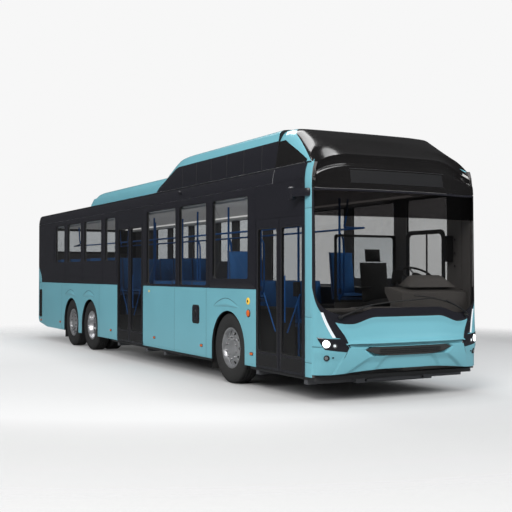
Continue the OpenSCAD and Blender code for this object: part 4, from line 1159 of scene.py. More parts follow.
class BUS_OT_rear_end(bpy.types.Operator):
    """Rear wall round its corners, the glazed black upper panel, the machinery bay, bumper and lamps"""

    bl_idname = "bus.rear_end"
    bl_label = "Rear end"

    def execute(self, context):
        b = measures()[0]
        full = b.half_width - b.tail_radius + b.tail_radius * math.pi / 2
        shape = Shape()

        def part(s0, s1, z0, rise):
            def place(u, v, w):
                top = rise(u) if callable(rise) else rise
                return tail(u, z0 + (top - z0) * v, w)

            u = np.linspace(s0, s1, max(4, int((s1 - s0) / 0.04)))
            shape.slab(place, u, np.linspace(0, 1, 7), 0.045, 0.003, "paint", 0.004, 0.012)

        def edge(u):
            out = full - np.abs(u)
            return 1.70 + 0.24 * np.clip(out / 0.26, 0, 1) + 0.06 * smooth(0.3, 0.55, out)

        part(-full, full, 0.611, 0.642)
        for side, _ in SIDES:
            part(*sorted((side * 0.843, side * full)), 0.646, edge)
        part(-0.840, 0.840, 1.643, 1.996)

        def upper(u, v, w):
            low = np.maximum(edge(u), 1.70) + 0.006
            return tail(u, low + (2.757 - low) * v, w)

        black, clear = shape.slot("black_gloss"), shape.slot("side_glass")

        def glazing(gu, gv):
            mid_u, mid_v = gu[1:, 1:] + gu[:-1, :-1], gv[1:, 1:] + gv[:-1, :-1] - 1.0
            return np.where((np.abs(mid_u) < 1.84) & (np.abs(mid_v) < 0.75), clear, black)

        u, v = np.linspace(-full, full, 80), np.linspace(0, 1, 9)
        shape.slab(upper, u, v, 0.045, 0.003, glazing, 0.004, 0.012)
        shape.block((-6.603, -1.19, 1.36), (-6.588, 1.19, 2.085), "pillar_grey", 0.003)
        rubber, glass = rounded(-0.98, 2.06, 0.98, 2.70, 0.08), rounded(-0.89, 2.13, 0.89, 2.64, 0.06)
        shape.border(rubber, glass, facing(TAIL - 0.003), 0.0, 0.006, "black_gloss")
        shape.plate(rounded(-0.26, 0.46, 0.26, 0.575, 0.01), facing(TAIL - 0.002), 0.0, 0.006, "lining")
        shape.block((BAY, -1.00, 0.47), (BAY + 0.015, 1.00, 1.70), "frame_steel", 0.004)
        for y0, y1, z0, z1, out, slot in (
            (-0.80, -0.20, 0.70, 1.30, 0.09, "machine_grey"),
            (-0.12, 0.44, 0.70, 1.05, 0.11, "cab_black"),
            (0.52, 0.80, 0.70, 1.42, 0.10, "machine_grey"),
        ):
            shape.block((BAY - out, y0, z0), (BAY + 0.002, y1, z1), slot, 0.012)
        for y in np.linspace(-0.74, -0.26, 13):
            shape.block((-6.538, y - 0.008, 0.76), (-6.526, y + 0.008, 1.24), "rubber", 0.002)
        for y, z, slot in ((-0.16, 1.42, "rubber"), (0.02, 1.34, "rail_blue")):
            hose = [(-6.46, y - 0.5, z + 0.10), (-6.50, y - 0.1, z), (-6.50, y + 0.3, z + 0.02)]
            shape.tube(curve(hose + [(-6.46, y + 0.62, z - 0.12)], 30), 0.022, slot, 12)
        shape.done("tail_panels", "body", "body_paint", "rear_wall")
        shape = Shape()

        def bumper(s, k, w):
            return tail(s, 0.415 + 0.190 * k, faced(w, 0.012 * smooth(0.35, 0.0, k)))

        shape.slab(bumper, u, v, 0.05, 0.004, "paint", 0.004, 0.012)
        for y in (-0.72, 0.72):
            disc = [(0, 0), (0.030, 0), (0.028, 0.006), (0, 0.008)]
            shape.lathe(disc, (-6.642, y, 0.52), (-1, 0, 0), "red_lens", 20)
        shape.done("rear_bumper_cover", "body", "body_paint", "rear_bumper")
        shape = Shape()
        bezel = [(0, -0.004), (0.062, -0.004), (0.0615, 0.010), (0.055, 0.012), (0.052, 0.008), (0, 0.008)]
        lens = [(0, 0.0), (0.052, 0.0), (0.050, 0.009), (0.035, 0.0115), (0, 0.012)]
        for side, _ in SIDES:
            for z, slot in ((0.90, "lining"), (1.08, "amber_lens"), (1.26, "red_lens")):
                at = (-6.645, side * 0.945, z)
                shape.lathe(bezel, at, (-1, 0, 0), "black_satin", 40)
                shape.lathe(lens, at, (-1, 0, 0), slot, 36)
        shape.done("tail_lenses", "body", "red_lens", "tail_lamps")
        return {"FINISHED"}


class BUS_OT_rear_hatch(bpy.types.Operator):
    """Lid over the machinery, with pressed louvres and a recessed handle"""

    bl_idname = "bus.rear_hatch"
    bl_label = "Rear hatch"

    def execute(self, context):
        lo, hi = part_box("rear_hatch")
        shape = Shape()

        def place(u, v, w):
            z = lo.z + (hi.z - 0.02 - lo.z) * v
            inside = smooth(0.70, 0.66, np.abs(u)) * smooth(0.10, 0.14, v) * smooth(0.90, 0.86, v)
            wave = 0.5 - 0.5 * np.cos(2 * math.pi * v * 22)
            return np.stack([lo.x + 0.010 + faced(w, 0.013 * inside * wave), u, z], -1)

        shape.slab(
            place, np.linspace(lo.y, hi.y, 60), np.linspace(0, 1, 177), 0.035, 0.003, "paint", 0.004, 0.003
        )
        for y in (-0.62, 0.62):
            pin = [(lo.x + 0.010, y + end, hi.z - 0.010) for end in (-0.10, 0.10)]
            shape.tube(pin, 0.0085, "steel", 14)
        handle = rounded(-0.09, 0.675, 0.09, 0.715, 0.012)
        shape.plate(handle, facing(lo.x + 0.007), 0.0, 0.006, "black_satin")
        shape.done("hatch_lid", "rear_hatch", "body_paint", "rear_hatch")
        return {"FINISHED"}


class BUS_OT_door_leaves(bpy.types.Operator):
    """Four door leaves: black frame, deep pane, kick panel, rubber nosing, blue rails and a grab bar within
    the leaf"""

    bl_idname = "bus.door_leaves"
    bl_label = "Door leaves"

    def execute(self, context):
        put = wall(-1)
        for name in (
            "front_door_fore_leaf", "front_door_aft_leaf", "mid_door_fore_leaf", "mid_door_aft_leaf"
        ):
            lo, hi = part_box(name)
            pane = (lo.x + 0.062, 0.545, hi.x - 0.062, hi.z - 0.13)
            inner = grown(pane, 0, 0.035)
            shape = Shape()
            shape.border(rounded(lo.x, lo.z, hi.x, hi.z, 0.008), inner, put, 0.001, 0.039, "black_gloss")
            kick = rounded(lo.x + 0.05, lo.z + 0.03, hi.x - 0.05, 0.51, 0.02)
            shape.plate(kick, put, -0.0005, 0.01, "black_satin")
            shape.border(grown(pane, 0.012, 0.045), inner, put, 0.0, 0.006, "rubber")
            shape.plate(grown(pane, 0.003, 0.038), put, 0.006, 0.012, "door_glass")
            nosing, hinge, way = (lo.x, hi.x, 1) if "fore" in name else (hi.x, lo.x, -1)
            shape.tube([(nosing, -1.249, lo.z + 0.01), (nosing, -1.249, hi.z - 0.01)], 0.0045, "rubber", 8)
            bar = nosing + way * 0.085
            grip = [(bar, -1.238, 0.95), (bar, -1.2385, 1.0), (bar, -1.2385, 1.5), (bar, -1.238, 1.55)]
            shape.tube(curve(grip, 20), 0.010, "rail_blue", 10)
            brace = [(hinge - way * 0.16, -1.2385, 1.32), (nosing + way * 0.15, -1.2385, 0.82)]
            shape.tube(brace, 0.009, "rail_blue", 10)
            for z in (lo.z + 0.02, hi.z - 0.02):
                pin = [(0, -0.008), (0.0075, -0.008), (0.0075, 0.008), (0, 0.008)]
                shape.lathe(pin, (hinge, -1.2425, z), (0, 0, 1), "steel", 16)
            shape.done(name + "_cover", name, "black_gloss", name)
        return {"FINISHED"}


# outline, place along the side, height, finish, sides: turn lamp, yellow disc with its dark dot, small disc
SIDE_DISCS = (
    ([(0, -0.01), (0.056, -0.01), (0.054, 0.004), (0.050, 0.008), (0, 0.008)], 4.66, 1.03, "black_satin", 28),
    ([(0, 0.0), (0.050, 0.0), (0.045, 0.013), (0.025, 0.020), (0, 0.021)], 4.66, 1.03, "amber_lens", 28),
    (
        [(0, -0.01), (0.050, -0.01), (0.049, 0.004), (0.045, 0.006), (0, 0.006)], 4.65, 1.197, "yellow_disc",
        28
    ),
    ([(0, 0.0), (0.019, 0.0), (0.018, 0.0075), (0, 0.008)], 4.65, 1.197, "black_satin", 20),
    ([(0, -0.01), (0.018, -0.01), (0.018, 0.004), (0, 0.006)], 0.93, 1.27, "yellow_disc", 20),
)


class BUS_OT_side_fittings(bpy.types.Operator):
    """Marker lamps, the plug cover, the vent grille, the yellow disc and lamp by the front arch"""

    bl_idname = "bus.side_fittings"
    bl_label = "Side fittings"

    def execute(self, context):
        shape = Shape()
        for side, _ in SIDES:
            put = wall(side)
            for x, z in (
                (4.75, 0.48), (3.11, 0.48), (1.18, 0.48), (-1.08, 0.48), (-4.56, 0.48), (-6.21, 0.45)
            ):
                shape.plate(
                    rounded(x - 0.045, z - 0.022, x + 0.045, z + 0.022, 0.012), put, 0.001, 0.02,
                    "black_satin"
                )
                shape.plate(
                    rounded(x - 0.038, z - 0.016, x + 0.038, z + 0.016, 0.012), put, -0.006, 0.01,
                    "amber_lens", 0.004
                )
            for profile, x, z, slot, sides in SIDE_DISCS:
                shape.lathe(profile, (x, side * 1.270, z), (0, side, 0), slot, sides)
            shape.plate(rounded(-6.375, 0.53, -6.14, 1.19, 0.035), put, -0.001, 0.02, "black_satin")
            for z in np.linspace(0.57, 1.15, 14):
                shape.plate(
                    rounded(-6.355, z - 0.008, -6.16, z + 0.008, 0.006, 3), put, -0.006, 0.003, "rubber",
                    0.003
                )
        put = wall(-1)
        shape.plate(rounded(2.765, 0.805, 3.035, 1.095, 0.05), put, 0.0045, 0.02, "rubber", 0.002)
        shape.plate(rounded(2.785, 0.85, 3.015, 1.075, 0.045), put, -0.008, 0.012, "black_gloss", 0.008)
        lock = [(0, 0), (0.05, 0), (0.048, 0.006), (0.03, 0.008), (0, 0.008)]
        shape.lathe(lock, (2.90, -1.283, 0.965), (0, -1, 0), "black_satin", 28)
        shape.done("side_fittings", "body", "lamp_lens")
        return {"FINISHED"}


# ---------------------------------------------------------------- wheels


def tyre(shape, hub, out, sides=288):
    """A ribbed tyre turned round the hub: bulged walls, four grooves round the tread and lugs cut in its
    shoulders."""
    w = measures()[1]
    r, half = w.tyre_radius, w.tyre_width / 2
    wallp = [(w.rim_radius - 0.006, 0.036), (0.305, 0.022), (0.335, 0.009), (0.385, 0.001), (0.425, 0.0)]
    wallp += [(0.462, 0.006), (0.486, 0.017), (r - 0.006, 0.030)]
    wallp = curve([(rad, half - a) for rad, a in wallp], 22)
    tread = [(r, half - 0.040)]
    for a in (0.070, 0.026):
        tread += [
            (r, a + 0.0065), (r - w.tread_depth, a + 0.0045), (r - w.tread_depth, a - 0.0045), (r, a - 0.0065)
        ]
    outer = np.concatenate([wallp, tread])
    bead = [(0.30, -half + 0.05), (0.34, 0.0), (0.30, half - 0.05)]
    profile = np.concatenate([outer, outer[::-1] * (1, -1), bead])

    def lugs(turn, rad, a):
        pitch = np.floor(turn / (2 * math.pi) * w.lugs * 4 + 1e-6).astype(int)
        shoulder = (np.abs(a) > 0.080) & (rad > 0.478)
        ring = 0.0012 * np.sin(turn * w.lugs) * ((rad > 0.35) & (rad < 0.36))
        return np.where((pitch % 4 == 0) & shoulder, -0.007, 0.0) + ring

    shape.lathe(profile, hub, (0, out, 0), "tyre", sides, ring=True, shift=lugs)
    bead = [(0.356, half - 0.006), (0.359, half - 0.0035), (0.362, half - 0.0045)]
    shape.lathe(bead, hub, (0, out, 0), "tyre", 96, ring=True)


def rim(shape, hub, out, deep):
    """A polished rim: flanged barrel, a disc that bulges out or lies deep, round hand holes, nuts and hub."""
    w = measures()[1]
    hub, axis = np.array(hub), np.array((0, out, 0), float)
    side = np.cross(axis, (0.0, 0.0, 1.0))
    up = np.cross(axis, side)

    def at(a, r, t):
        return hub + a * axis + r * (np.cos(t) * side + np.sin(t) * up)

    half = [(0.268, 0.108), (0.290, 0.112), (0.2955, 0.108), (0.290, 0.101), (0.282, 0.098), (0.277, 0.060)]
    barrel = half + [(0.250, 0.025), (0.250, -0.030)] + [(r, -a) for r, a in half[::-1]]
    barrel += [(0.264, -0.060), (0.240, -0.025), (0.240, 0.020), (0.264, 0.060)]
    shape.lathe(barrel, hub, axis, "alloy", 96, ring=True)
    # the disc with the hand holes runs from radius r0 at a0 along the axis in to r1 at a1
    a0, a1 = (-0.020, -0.052) if deep else (0.062, 0.092)
    r0, r1 = 0.252, 0.192
    flange = [(0.263, a0 + (0.03 if deep else -0.012)), (r0, a0), (r0, a0 - 0.010), (0.263, a0 - 0.024)]
    shape.lathe(flange, hub, axis, "alloy", 96, ring=True)
    step = 2 * math.pi / w.hand_holes
    phi = around(32)
    sup = np.maximum(np.abs(np.cos(phi)), np.abs(np.sin(phi)))  # turns the circle into the tile round a hole
    mid, hr, ht = (r0 + r1) / 2, (r0 - r1) / 2, step / 2
    # painted shade: each hand hole's walls and floor take the black rubber finish, standing for the shade
    # inside the hole
    alloy, dark = shape.slot("alloy"), shape.slot("rubber")
    for i in range(w.hand_holes):
        rows = []
        # radius of the hole, None for the tile's edge, and depth under the disc
        for rho, drop in ((None, 0.0), (0.0285, 0.0), (0.0270, 0.002), (0.0270, 0.011), (None, 0.011)):
            p = np.cos(phi) / sup if rho is None else rho * np.cos(phi) / hr
            q = np.sin(phi) / sup if rho is None else rho * np.sin(phi) / (mid * ht)
            r = mid + p * hr
            a = a0 + (a1 - a0) * (r0 - r) / (r0 - r1) - drop
            rows.append(at(*(k[:, None] for k in (a, r, i * step + q * ht))))
        shape.loops(np.array(rows), np.repeat([alloy, alloy, dark, dark, dark], 32), ring=True)
    # a black disc behind the rim's disc stands for the parts inside the wheel seen through the holes; its
    # black is painted shade
    shape.lathe([(0.245, -0.09), (0.245, a0 - 0.035), (0, a0 - 0.035), (0, -0.09)], hub, axis, "rubber", 48)
    land = a1 + (-0.004 if deep else 0.002)  # the ring that the nuts stand on
    hubs = [(0.135, 0), (0.122, -0.003), (0.112, 0.004), (0.098, 0.016), (0.070, 0.023), (0.0, 0.024)]
    hubs = [(r, land + a) for r, a in hubs]
    if deep:
        hubs = [(0.135, land), (0.125, land - 0.004), (0.118, land + 0.012)]
        hubs += [(0.112, 0.030), (0.096, 0.042), (0.060, 0.046), (0.0, 0.046)]
    shape.lathe([(0, a1 - 0.03), (r1, a1 - 0.010), (r1, a1), (0.186, land)] + hubs, hub, axis, "alloy", 72)
    for i in range(w.nuts):
        nut = at(land, 0.1575, (i + 0.5) * 2 * math.pi / w.nuts)
        shape.lathe([(0, 0), (0.019, 0), (0.018, 0.004), (0, 0.004)], nut, axis, "steel", 20)
        shape.lathe(
            [(0, 0.003), (0.0145, 0.003), (0.0145, 0.018), (0.011, 0.022), (0, 0.024)], nut, axis, "steel", 6
        )
    for t in around(10) if deep else ():
        shape.lathe([(0, 0), (0.010, 0), (0.010, 0.010), (0, 0.012)], at(0.036, 0.082, t), axis, "steel", 6)


class BUS_OT_wheels(bpy.types.Operator):
    """All wheels: single ones bulging outward on the steered and last axles, twins on the driven axle"""

    bl_idname = "bus.wheels"
    bl_label = "Wheels"

    def execute(self, context):
        for label, x, twin in (
            ("front", AXLES[0], False), ("drive", AXLES[1], True), ("tag", AXLES[2], False)
        ):
            for side, word in SIDES:
                name, s = f"{label}_{word}", "s" if twin else ""
                body = f"{name}_wheel{s}"
                lo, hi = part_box(f"{name}_tyre{s}")
                hubs = [(x, side * y, (lo.z + hi.z) / 2) for y in (1.102, 0.787)[: 1 + twin]]
                shape = Shape()
                for hub in hubs:
                    tyre(shape, hub, side)
                shape.done(f"{name}_tread", body, "tyre", f"{name}_tyre{s}", sharp=45)
                shape = Shape()
                for hub, way in zip(hubs, (side, -side)):
                    rim(shape, hub, way, twin)
                shape.done(f"{name}_polished_rim{s}", body, "alloy", f"{name}_rim{s}")
        return {"FINISHED"}


# ---------------------------------------------------------------- inside


def filled(size, name):
    """A stuffed pad of that size as points of a closed grid, its cover pushed out by an air pressure and held
    at its underside. A bulge by a product of two half sine waves is worked out first; the simulation's moves
    replace it."""
    cabin = measures()[2]
    n = cabin.cover_grid
    u, v = np.meshgrid(*[np.linspace(0, 1, n)] * 2)
    rise = [(0.0, 0.12), (0.02, 0.62), (0.10, 0.95), (0.5, 1.0), (0.90, 0.95), (0.98, 0.62), (1.0, 0.12)]
    edge = np.minimum(*np.meshgrid(*[curve(rise, n)[:, 1]] * 2))
    half = np.stack([(u - 0.5) * size[0], (v - 0.5) * size[1], 0.5 * size[2] * edge], -1)
    shape = Shape()
    top, low = shape.add(half), shape.add(half * (1, 1, -1))
    shape.quads(top, "seat_cloth")
    shape.quads(low[:, ::-1], "seat_cloth")
    shape.hem(top, low, "seat_cloth")
    points = np.concatenate(shape.points)
    bulge = np.zeros_like(points)
    bulge[: n * n, 2] = (cabin.puff * np.sin(math.pi * u) * np.sin(math.pi * v)).ravel()
    bulge = simulated(points, shape.faces, n * n, name)
    return points + bulge, shape


PRESSURE, FRAMES = 4.0, 20  # of the cloth run that fills a pad


def simulated(points, faces, kept, name):
    """Moves of the cover under pressure: a cloth run on a copy, with its underside held, capped at the pad's
    puff."""
    cap = measures()[2].puff
    mesh = bpy.data.meshes.new(name)
    mesh.from_pydata(points.tolist(), [], faces)
    pad = bpy.data.objects.new(name, mesh)
    bpy.context.scene.collection.objects.link(pad)
    held = pad.vertex_groups.new(name="held")
    held.add(list(range(kept, len(points))), 1.0, "REPLACE")
    cloth = pad.modifiers.new("Cloth", "CLOTH")
    s = cloth.settings
    s.quality, s.mass, s.time_scale = 6, 0.3, 1.0
    s.use_pressure, s.uniform_pressure_force = True, PRESSURE
    s.effector_weights.gravity = 0.0
    s.tension_stiffness = s.compression_stiffness = 25
    s.bending_stiffness = 4
    s.vertex_group_mass = "held"
    scene = bpy.context.scene
    for f in range(1, FRAMES + 1):
        scene.frame_set(f)
    seen = pad.evaluated_get(bpy.context.evaluated_depsgraph_get())
    co = np.zeros(len(points) * 3, np.float32)
    seen.data.vertices.foreach_get("co", co)
    bpy.data.objects.remove(pad)
    scene.frame_set(1)
    move = co.reshape(-1, 3) - points
    far = np.linalg.norm(move, axis=1, keepdims=True)
    return np.nan_to_num(move * np.minimum(1, cap / np.maximum(far, 1e-9)))


def islands(name):
    """The eight corners of each box of a node that is made of boxes, ordered by X, Y and Z side."""
    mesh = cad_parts[name].data
    co = np.zeros(len(mesh.vertices) * 3)
    mesh.vertices.foreach_get("co", co)
    co = co.reshape(-1, 3)
    key = {}
    point = np.array([key.setdefault(tuple(k), len(key)) for k in np.round(co, 4)])
    spots = np.array(sorted(key, key=key.get))
    root = np.arange(len(spots))

    def find(i):
        while root[i] != i:
            root[i] = root[root[i]]
            i = root[i]
        return i

    for e in mesh.edges:
        p, q = find(point[e.vertices[0]]), find(point[e.vertices[1]])
        root[p] = q
    groups = {}
    for i in range(len(spots)):
        groups.setdefault(find(i), []).append(i)
    return [spots[g] for g in groups.values() if len(g) == 8]


def corners(box):
    """Corners of a leaning box as an array [x side][y side][z side]."""
    out = np.zeros((2, 2, 2, 3))
    tall = np.ptp(box[:, 2]) > 0.3
    for iy, part in enumerate((box[box[:, 1] < box[:, 1].mean()], box[box[:, 1] > box[:, 1].mean()])):
        part = part[np.argsort(part[:, 2] if tall else part[:, 0], kind="stable")]
        for first, pair in enumerate((part[:2], part[2:])):
            pair = pair[np.argsort(pair[:, 0] if tall else pair[:, 2], kind="stable")]
            for second in (0, 1):
                ix, iz = (second, first) if tall else (first, second)
                out[ix, iy, iz] = pair[second]
    return out, tall


class BUS_OT_seat_pads(bpy.types.Operator):
    """Cushions and back pads of all passenger seats, each a filled cover fitted to its place"""

    bl_idname = "bus.seat_pads"
    bl_label = "Seat pads"

    def execute(self, context):
        sizes = {True: (0.42, 0.62, 0.05), False: (0.40, 0.42, 0.055)}
        pads = {tall: (Shape(), filled(size, "pad_trial")) for tall, size in sizes.items()}
        for box in islands("seat_pads"):
            c, tall = corners(box)
            shape, (points, made) = pads[tall]
            k = points / sizes[tall] + 0.5
            a, b, d = (k[:, i : i + 1] for i in ((2, 0, 1) if tall else (1, 0, 2)))
            at = 0
            for i, wx in ((0, 1 - a), (1, a)):
                for j, wy in ((0, 1 - b), (1, b)):
                    for m, wz in ((0, 1 - d), (1, d)):
                        at = at + wx * wy * wz * c[i, j, m]
            shape.copy(made, at, "seat_cloth")
        backs = pads[True][0].done("seat_backs", "body", "seat_cloth", "seat_pads", sharp=60)
        seats = pads[False][0].done("seat_cushions", "body", "seat_cloth", "seat_pads", sharp=60)
        return {"FINISHED"}


def pad_between(shape, low, high, tilt, points, made, size, up):
    """One filled pad laid in a box turned by tilt about Y."""
    low, high = np.array(low), np.array(high)
    k = points / np.array(size)
    x, y, z = (k[:, (2, 0, 1) if up else (1, 0, 2)] * (high - low)).T
    c, s = math.cos(tilt), math.sin(tilt)
    shape.copy(made, (low + high) / 2 + np.stack([x * c - z * s, y, x * s + z * c], -1), "cab_black")


class BUS_OT_cab(bpy.types.Operator):
    """Driver's place: padded seat, steering wheel, partition, instrument hood, window frame and screens"""

    bl_idname = "bus.cab"
    bl_label = "Driver's place"

    def execute(self, context):
        lo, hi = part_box("driver_seat")
        shape = Shape()
        y = (lo.y + hi.y) / 2
        size = (0.48, 0.48, 0.10)
        flat, made = filled(size, "driver_trial")
        for low, high, tilt, up in (
            ((lo.x + 0.10, y - 0.24, 1.10), (hi.x, y + 0.24, 1.21), 0.06, False),
            ((lo.x + 0.01, y - 0.235, 1.17), (lo.x + 0.13, y + 0.235, 1.74), 0.12, True),
            ((lo.x - 0.025, y - 0.13, 1.75), (lo.x + 0.075, y + 0.13, 1.935), 0.12, True),
        ):
            pad_between(shape, low, high, tilt, flat, made, size, up)
        seat = shape.done("driver_pads", "body", "cab_black", "driver_seat", sharp=60)
        shape = Shape()
        shape.block((lo.x + 0.12, y - 0.20, lo.z), (hi.x - 0.06, y + 0.20, lo.z + 0.05), "cab_black", 0.02)
        foot = [(0, 0), (0.13, 0), (0.10, 0.06), (0.085, 0.26), (0.16, 0.33), (0.16, 0.36), (0, 0.36)]
        shape.lathe(foot, (lo.x + 0.33, y, lo.z + 0.04), (0, 0, 1), "cab_black", 28)
        for s in (-0.262, 0.262):
            arm = [(lo.x + 0.10, y + s, 1.36), (lo.x + 0.24, y + s, 1.38), (lo.x + 0.38, y + s, 1.375)]
            shape.tube(curve(arm, 14), 0.022, "cab_black", 10)
        shape.done("driver_pedestal", "body", "cab_black")
        wlo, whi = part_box("steering_wheel")
        r = measures()[2].wheel_radius
        mid = np.array(((wlo.x + whi.x) / 2, (wlo.y + whi.y) / 2, 1.56))
        lean_back = math.radians(28)
        ahead = np.array((math.cos(lean_back), 0, -math.sin(lean_back)))
        out = np.array((math.sin(lean_back), 0, math.cos(lean_back)))

        def rim_point(t, r):
            return mid + r * (np.cos(t) * ahead + np.sin(t) * np.array((0, 1, 0)))

        shape = Shape()
        shape.tube(rim_point(around(64)[:, None], r), 0.0145, "cab_black", 12, ring=True)
        for t in (0.35 * math.pi, -0.35 * math.pi, math.pi):
            end = rim_point(t, r - 0.005)
            spoke = curve([mid - 0.03 * out, mid - 0.02 * out + (end - mid) * 0.5, end], 12)
            shape.tube(spoke, 0.011, "machine_grey", 8)
        boss = [(0, -0.05), (0.05, -0.05), (0.075, -0.02), (0.07, 0.0), (0.04, 0.010), (0, 0.012)]
        shape.lathe(boss, mid, out, "cab_black", 32)
        shape.tube([mid - 0.04 * out, mid - 0.30 * out + 0.02 * ahead], 0.04, "cab_black", 16)
        shape.done("steering_wheel_ring", "body", "cab_black", "steering_wheel")
        plo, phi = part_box("cab_partition")
        shape = Shape()
        put = facing(plo.x)
        shape.plate(rounded(plo.y, plo.z, phi.y, 1.16, 0.01), put, 0.0, 0.029, "pillar_grey")
        pane = (plo.y + 0.035, 1.19, phi.y - 0.035, phi.z - 0.035)
        frame_edge = rounded(plo.y, 1.162, phi.y, phi.z, 0.04)
        shape.border(frame_edge, grown(pane, 0, 0.04), put, 0.002, 0.028, "cab_black")
        shape.plate(grown(pane, 0.003, 0.04), put, 0.012, 0.018, "lens_glass")
        shape.done("driver_partition", "body", "lining", "cab_partition")
        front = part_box("dashboard")[1].x
        shape = Shape()
        hood = [
            (6.20, 1.398), (6.16, 1.50), (6.06, 1.555), (5.98, 1.545), (5.96, 1.50), (6.02, 1.44),
            (6.05, 1.398)
        ]
        hood = curve(hood, 30)
        swell = np.clip(np.sin(np.linspace(0.15, math.pi - 0.15, 25)) * 1.6, 0, 1)  # lower at both ends
        rows = [
            np.stack([hood[:, 0], np.full(30, yy), 1.398 + (hood[:, 1] - 1.398) * k], -1)
            for yy, k in zip(np.linspace(0.32, 1.08, 25), swell)
        ]
        shape.loops(rows, "dash_grey")
        shape.plate(
            rounded(0.46, 1.43, 0.94, 1.53, 0.02), facing(5.985, 0.35, 1.43), 0.0, 0.01, "black_gloss"
        )
        for x, y0, y1 in ((front - 0.30, -0.48, 0.14), (6.195, -1.05, -0.49)):
            shape.block((x, y0, 1.10), (front + 0.02, y1, 1.145), "dash_grey", 0.02)
        screen = rounded(0.20, 1.44, 0.36, 1.62, 0.015)
        shape.plate(screen, facing(5.93, 0.25, 1.44), 0.0, 0.035, "black_satin", 0.006)
        shape.tube([(5.98, 0.28, 1.39), (5.965, 0.28, 1.46)], 0.014, "black_satin", 10)
        window = lambda u, v, w: np.stack([u, 1.222 - w, v], -1)
        pane = (5.03, 1.48, 5.77, 2.14)
        shape.border(grown(pane, 0.06, 0.09), grown(pane, 0, 0.07), window, 0.0, 0.02, "cab_black")
        shape.block((5.42, 1.205, 1.45), (5.445, 1.222, 2.17), "cab_black", 0.004)
        shape.block((5.94, 1.10, 1.74), (6.00, 1.222, 2.10), "black_satin", 0.012)
        for z in (1.68, 1.86, 2.04):
            shape.tube([(6.02, 1.215, z), (6.08, 1.17, z)], 0.014, "black_satin", 10)
        shape.done("dash_fittings", "body", "cab_black")
        return {"FINISHED"}


class BUS_OT_rails(bpy.types.Operator):
    """Long rails under the ceiling, grab loops, ceiling lights and coves, and the ticket post"""

    bl_idname = "bus.rails"
    bl_label = "Rails and ceiling"

    def execute(self, context):
        r = measures()[2].rail_radius
        shape = Shape()
        for x in (0.86, 2.11, 4.54):
            for y in (-0.31, 0.31):
                loop = [(0, 1.20), (0.10, 1.32), (0.11, 1.60), (0.10, 2.05), (0, 2.18)]
                shape.tube(curve([(x + d, y, z) for d, z in loop], 30), r * 0.85, "rail_blue", 10)
                shape.block((x - 0.022, y - 0.022, 1.28), (x + 0.022, y + 0.022, 1.36), "seat_shell", 0.008)
        for s in (-1, 1):
            rail = [(-5.6, 2.688), (-5.5, 2.30), (-5.2, 2.24), (4.1, 2.24), (4.35, 2.30), (4.45, 2.688)]
            shape.tube(curve([(x, s * 0.52, z) for x, z in rail], 80), r * 0.9, "rail_blue", 10)
            shape.block((-6.2, s * 0.93 - 0.05, 2.672), (5.4, s * 0.93 + 0.05, 2.689), "cabin_light", 0.006)
            shape.block((-6.3, s * 1.13 - 0.09, 2.635), (4.6, s * 1.13 + 0.07, 2.689), "lining", 0.02)
        shape.tube([(4.55, -0.40, 0.32), (4.55, -0.40, 2.688)], r, "rail_blue", 12)
        shape.block((4.50, -0.47, 1.25), (4.60, -0.39, 1.46), "cab_black", 0.02)
        shape.done("rail_loops", "body", "rail_blue")
        return {"FINISHED"}


# constructed node: finish, material slot
CARRIED = {
    "chassis_rails": ("frame_steel", "frame_steel"),
    "cross_members": ("frame_steel", "frame_steel"),
    "low_floor": ("floor_grey", "floor_covering"),
    "raised_floor": ("floor_grey", "floor_covering"),
    "wheel_boxes": ("cab_black", "frame_steel"),
    "ceiling": ("ceiling_white", "lining"),
    "window_frames": ("pillar_lining", "black_gloss"),
    "mudflaps": ("rubber", "black_rubber"),
    "front_axle": ("frame_steel", "machine_grey"),
    "drive_axle": ("frame_steel", "machine_grey"),
    "tag_axle": ("frame_steel", "machine_grey"),
    "traction_motor": ("machine_grey", "machine_grey"),
    "battery_pack": ("machine_grey", "machine_grey"),
    "seat_frames": ("seat_shell", "seat_shell"),
    "dashboard": ("dash_grey", "cab_black"),
    "handrails": ("rail_blue", "rail_blue"),
    "right_knuckle": ("frame_steel", "machine_grey"),
    "left_knuckle": ("frame_steel", "machine_grey"),
}
EASED = ("dashboard", "seat_frames", "wheel_boxes", "mudflaps", "chassis_rails", "cross_members")


class BUS_OT_carried_parts(bpy.types.Operator):
    """Finishes of the constructed parts that are shown as they are, with eased edges where they are seen"""

    bl_idname = "bus.carried_parts"
    bl_label = "Carried parts"

    def execute(self, context):
        for name, (look, slot) in CARRIED.items():
            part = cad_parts[name]
            part.data.materials.clear()
            part.data.materials.append(finish(look))
            if name in EASED:
                part.modifiers.new("Weld", "WELD").merge_threshold = 0.0002
                ease = part.modifiers.new("Bevel", "BEVEL")
                ease.width, ease.segments = 0.006, 2
                ease.limit_method, ease.angle_limit = "ANGLE", math.radians(40)
        return {"FINISHED"}


# ---------------------------------------------------------------- studio


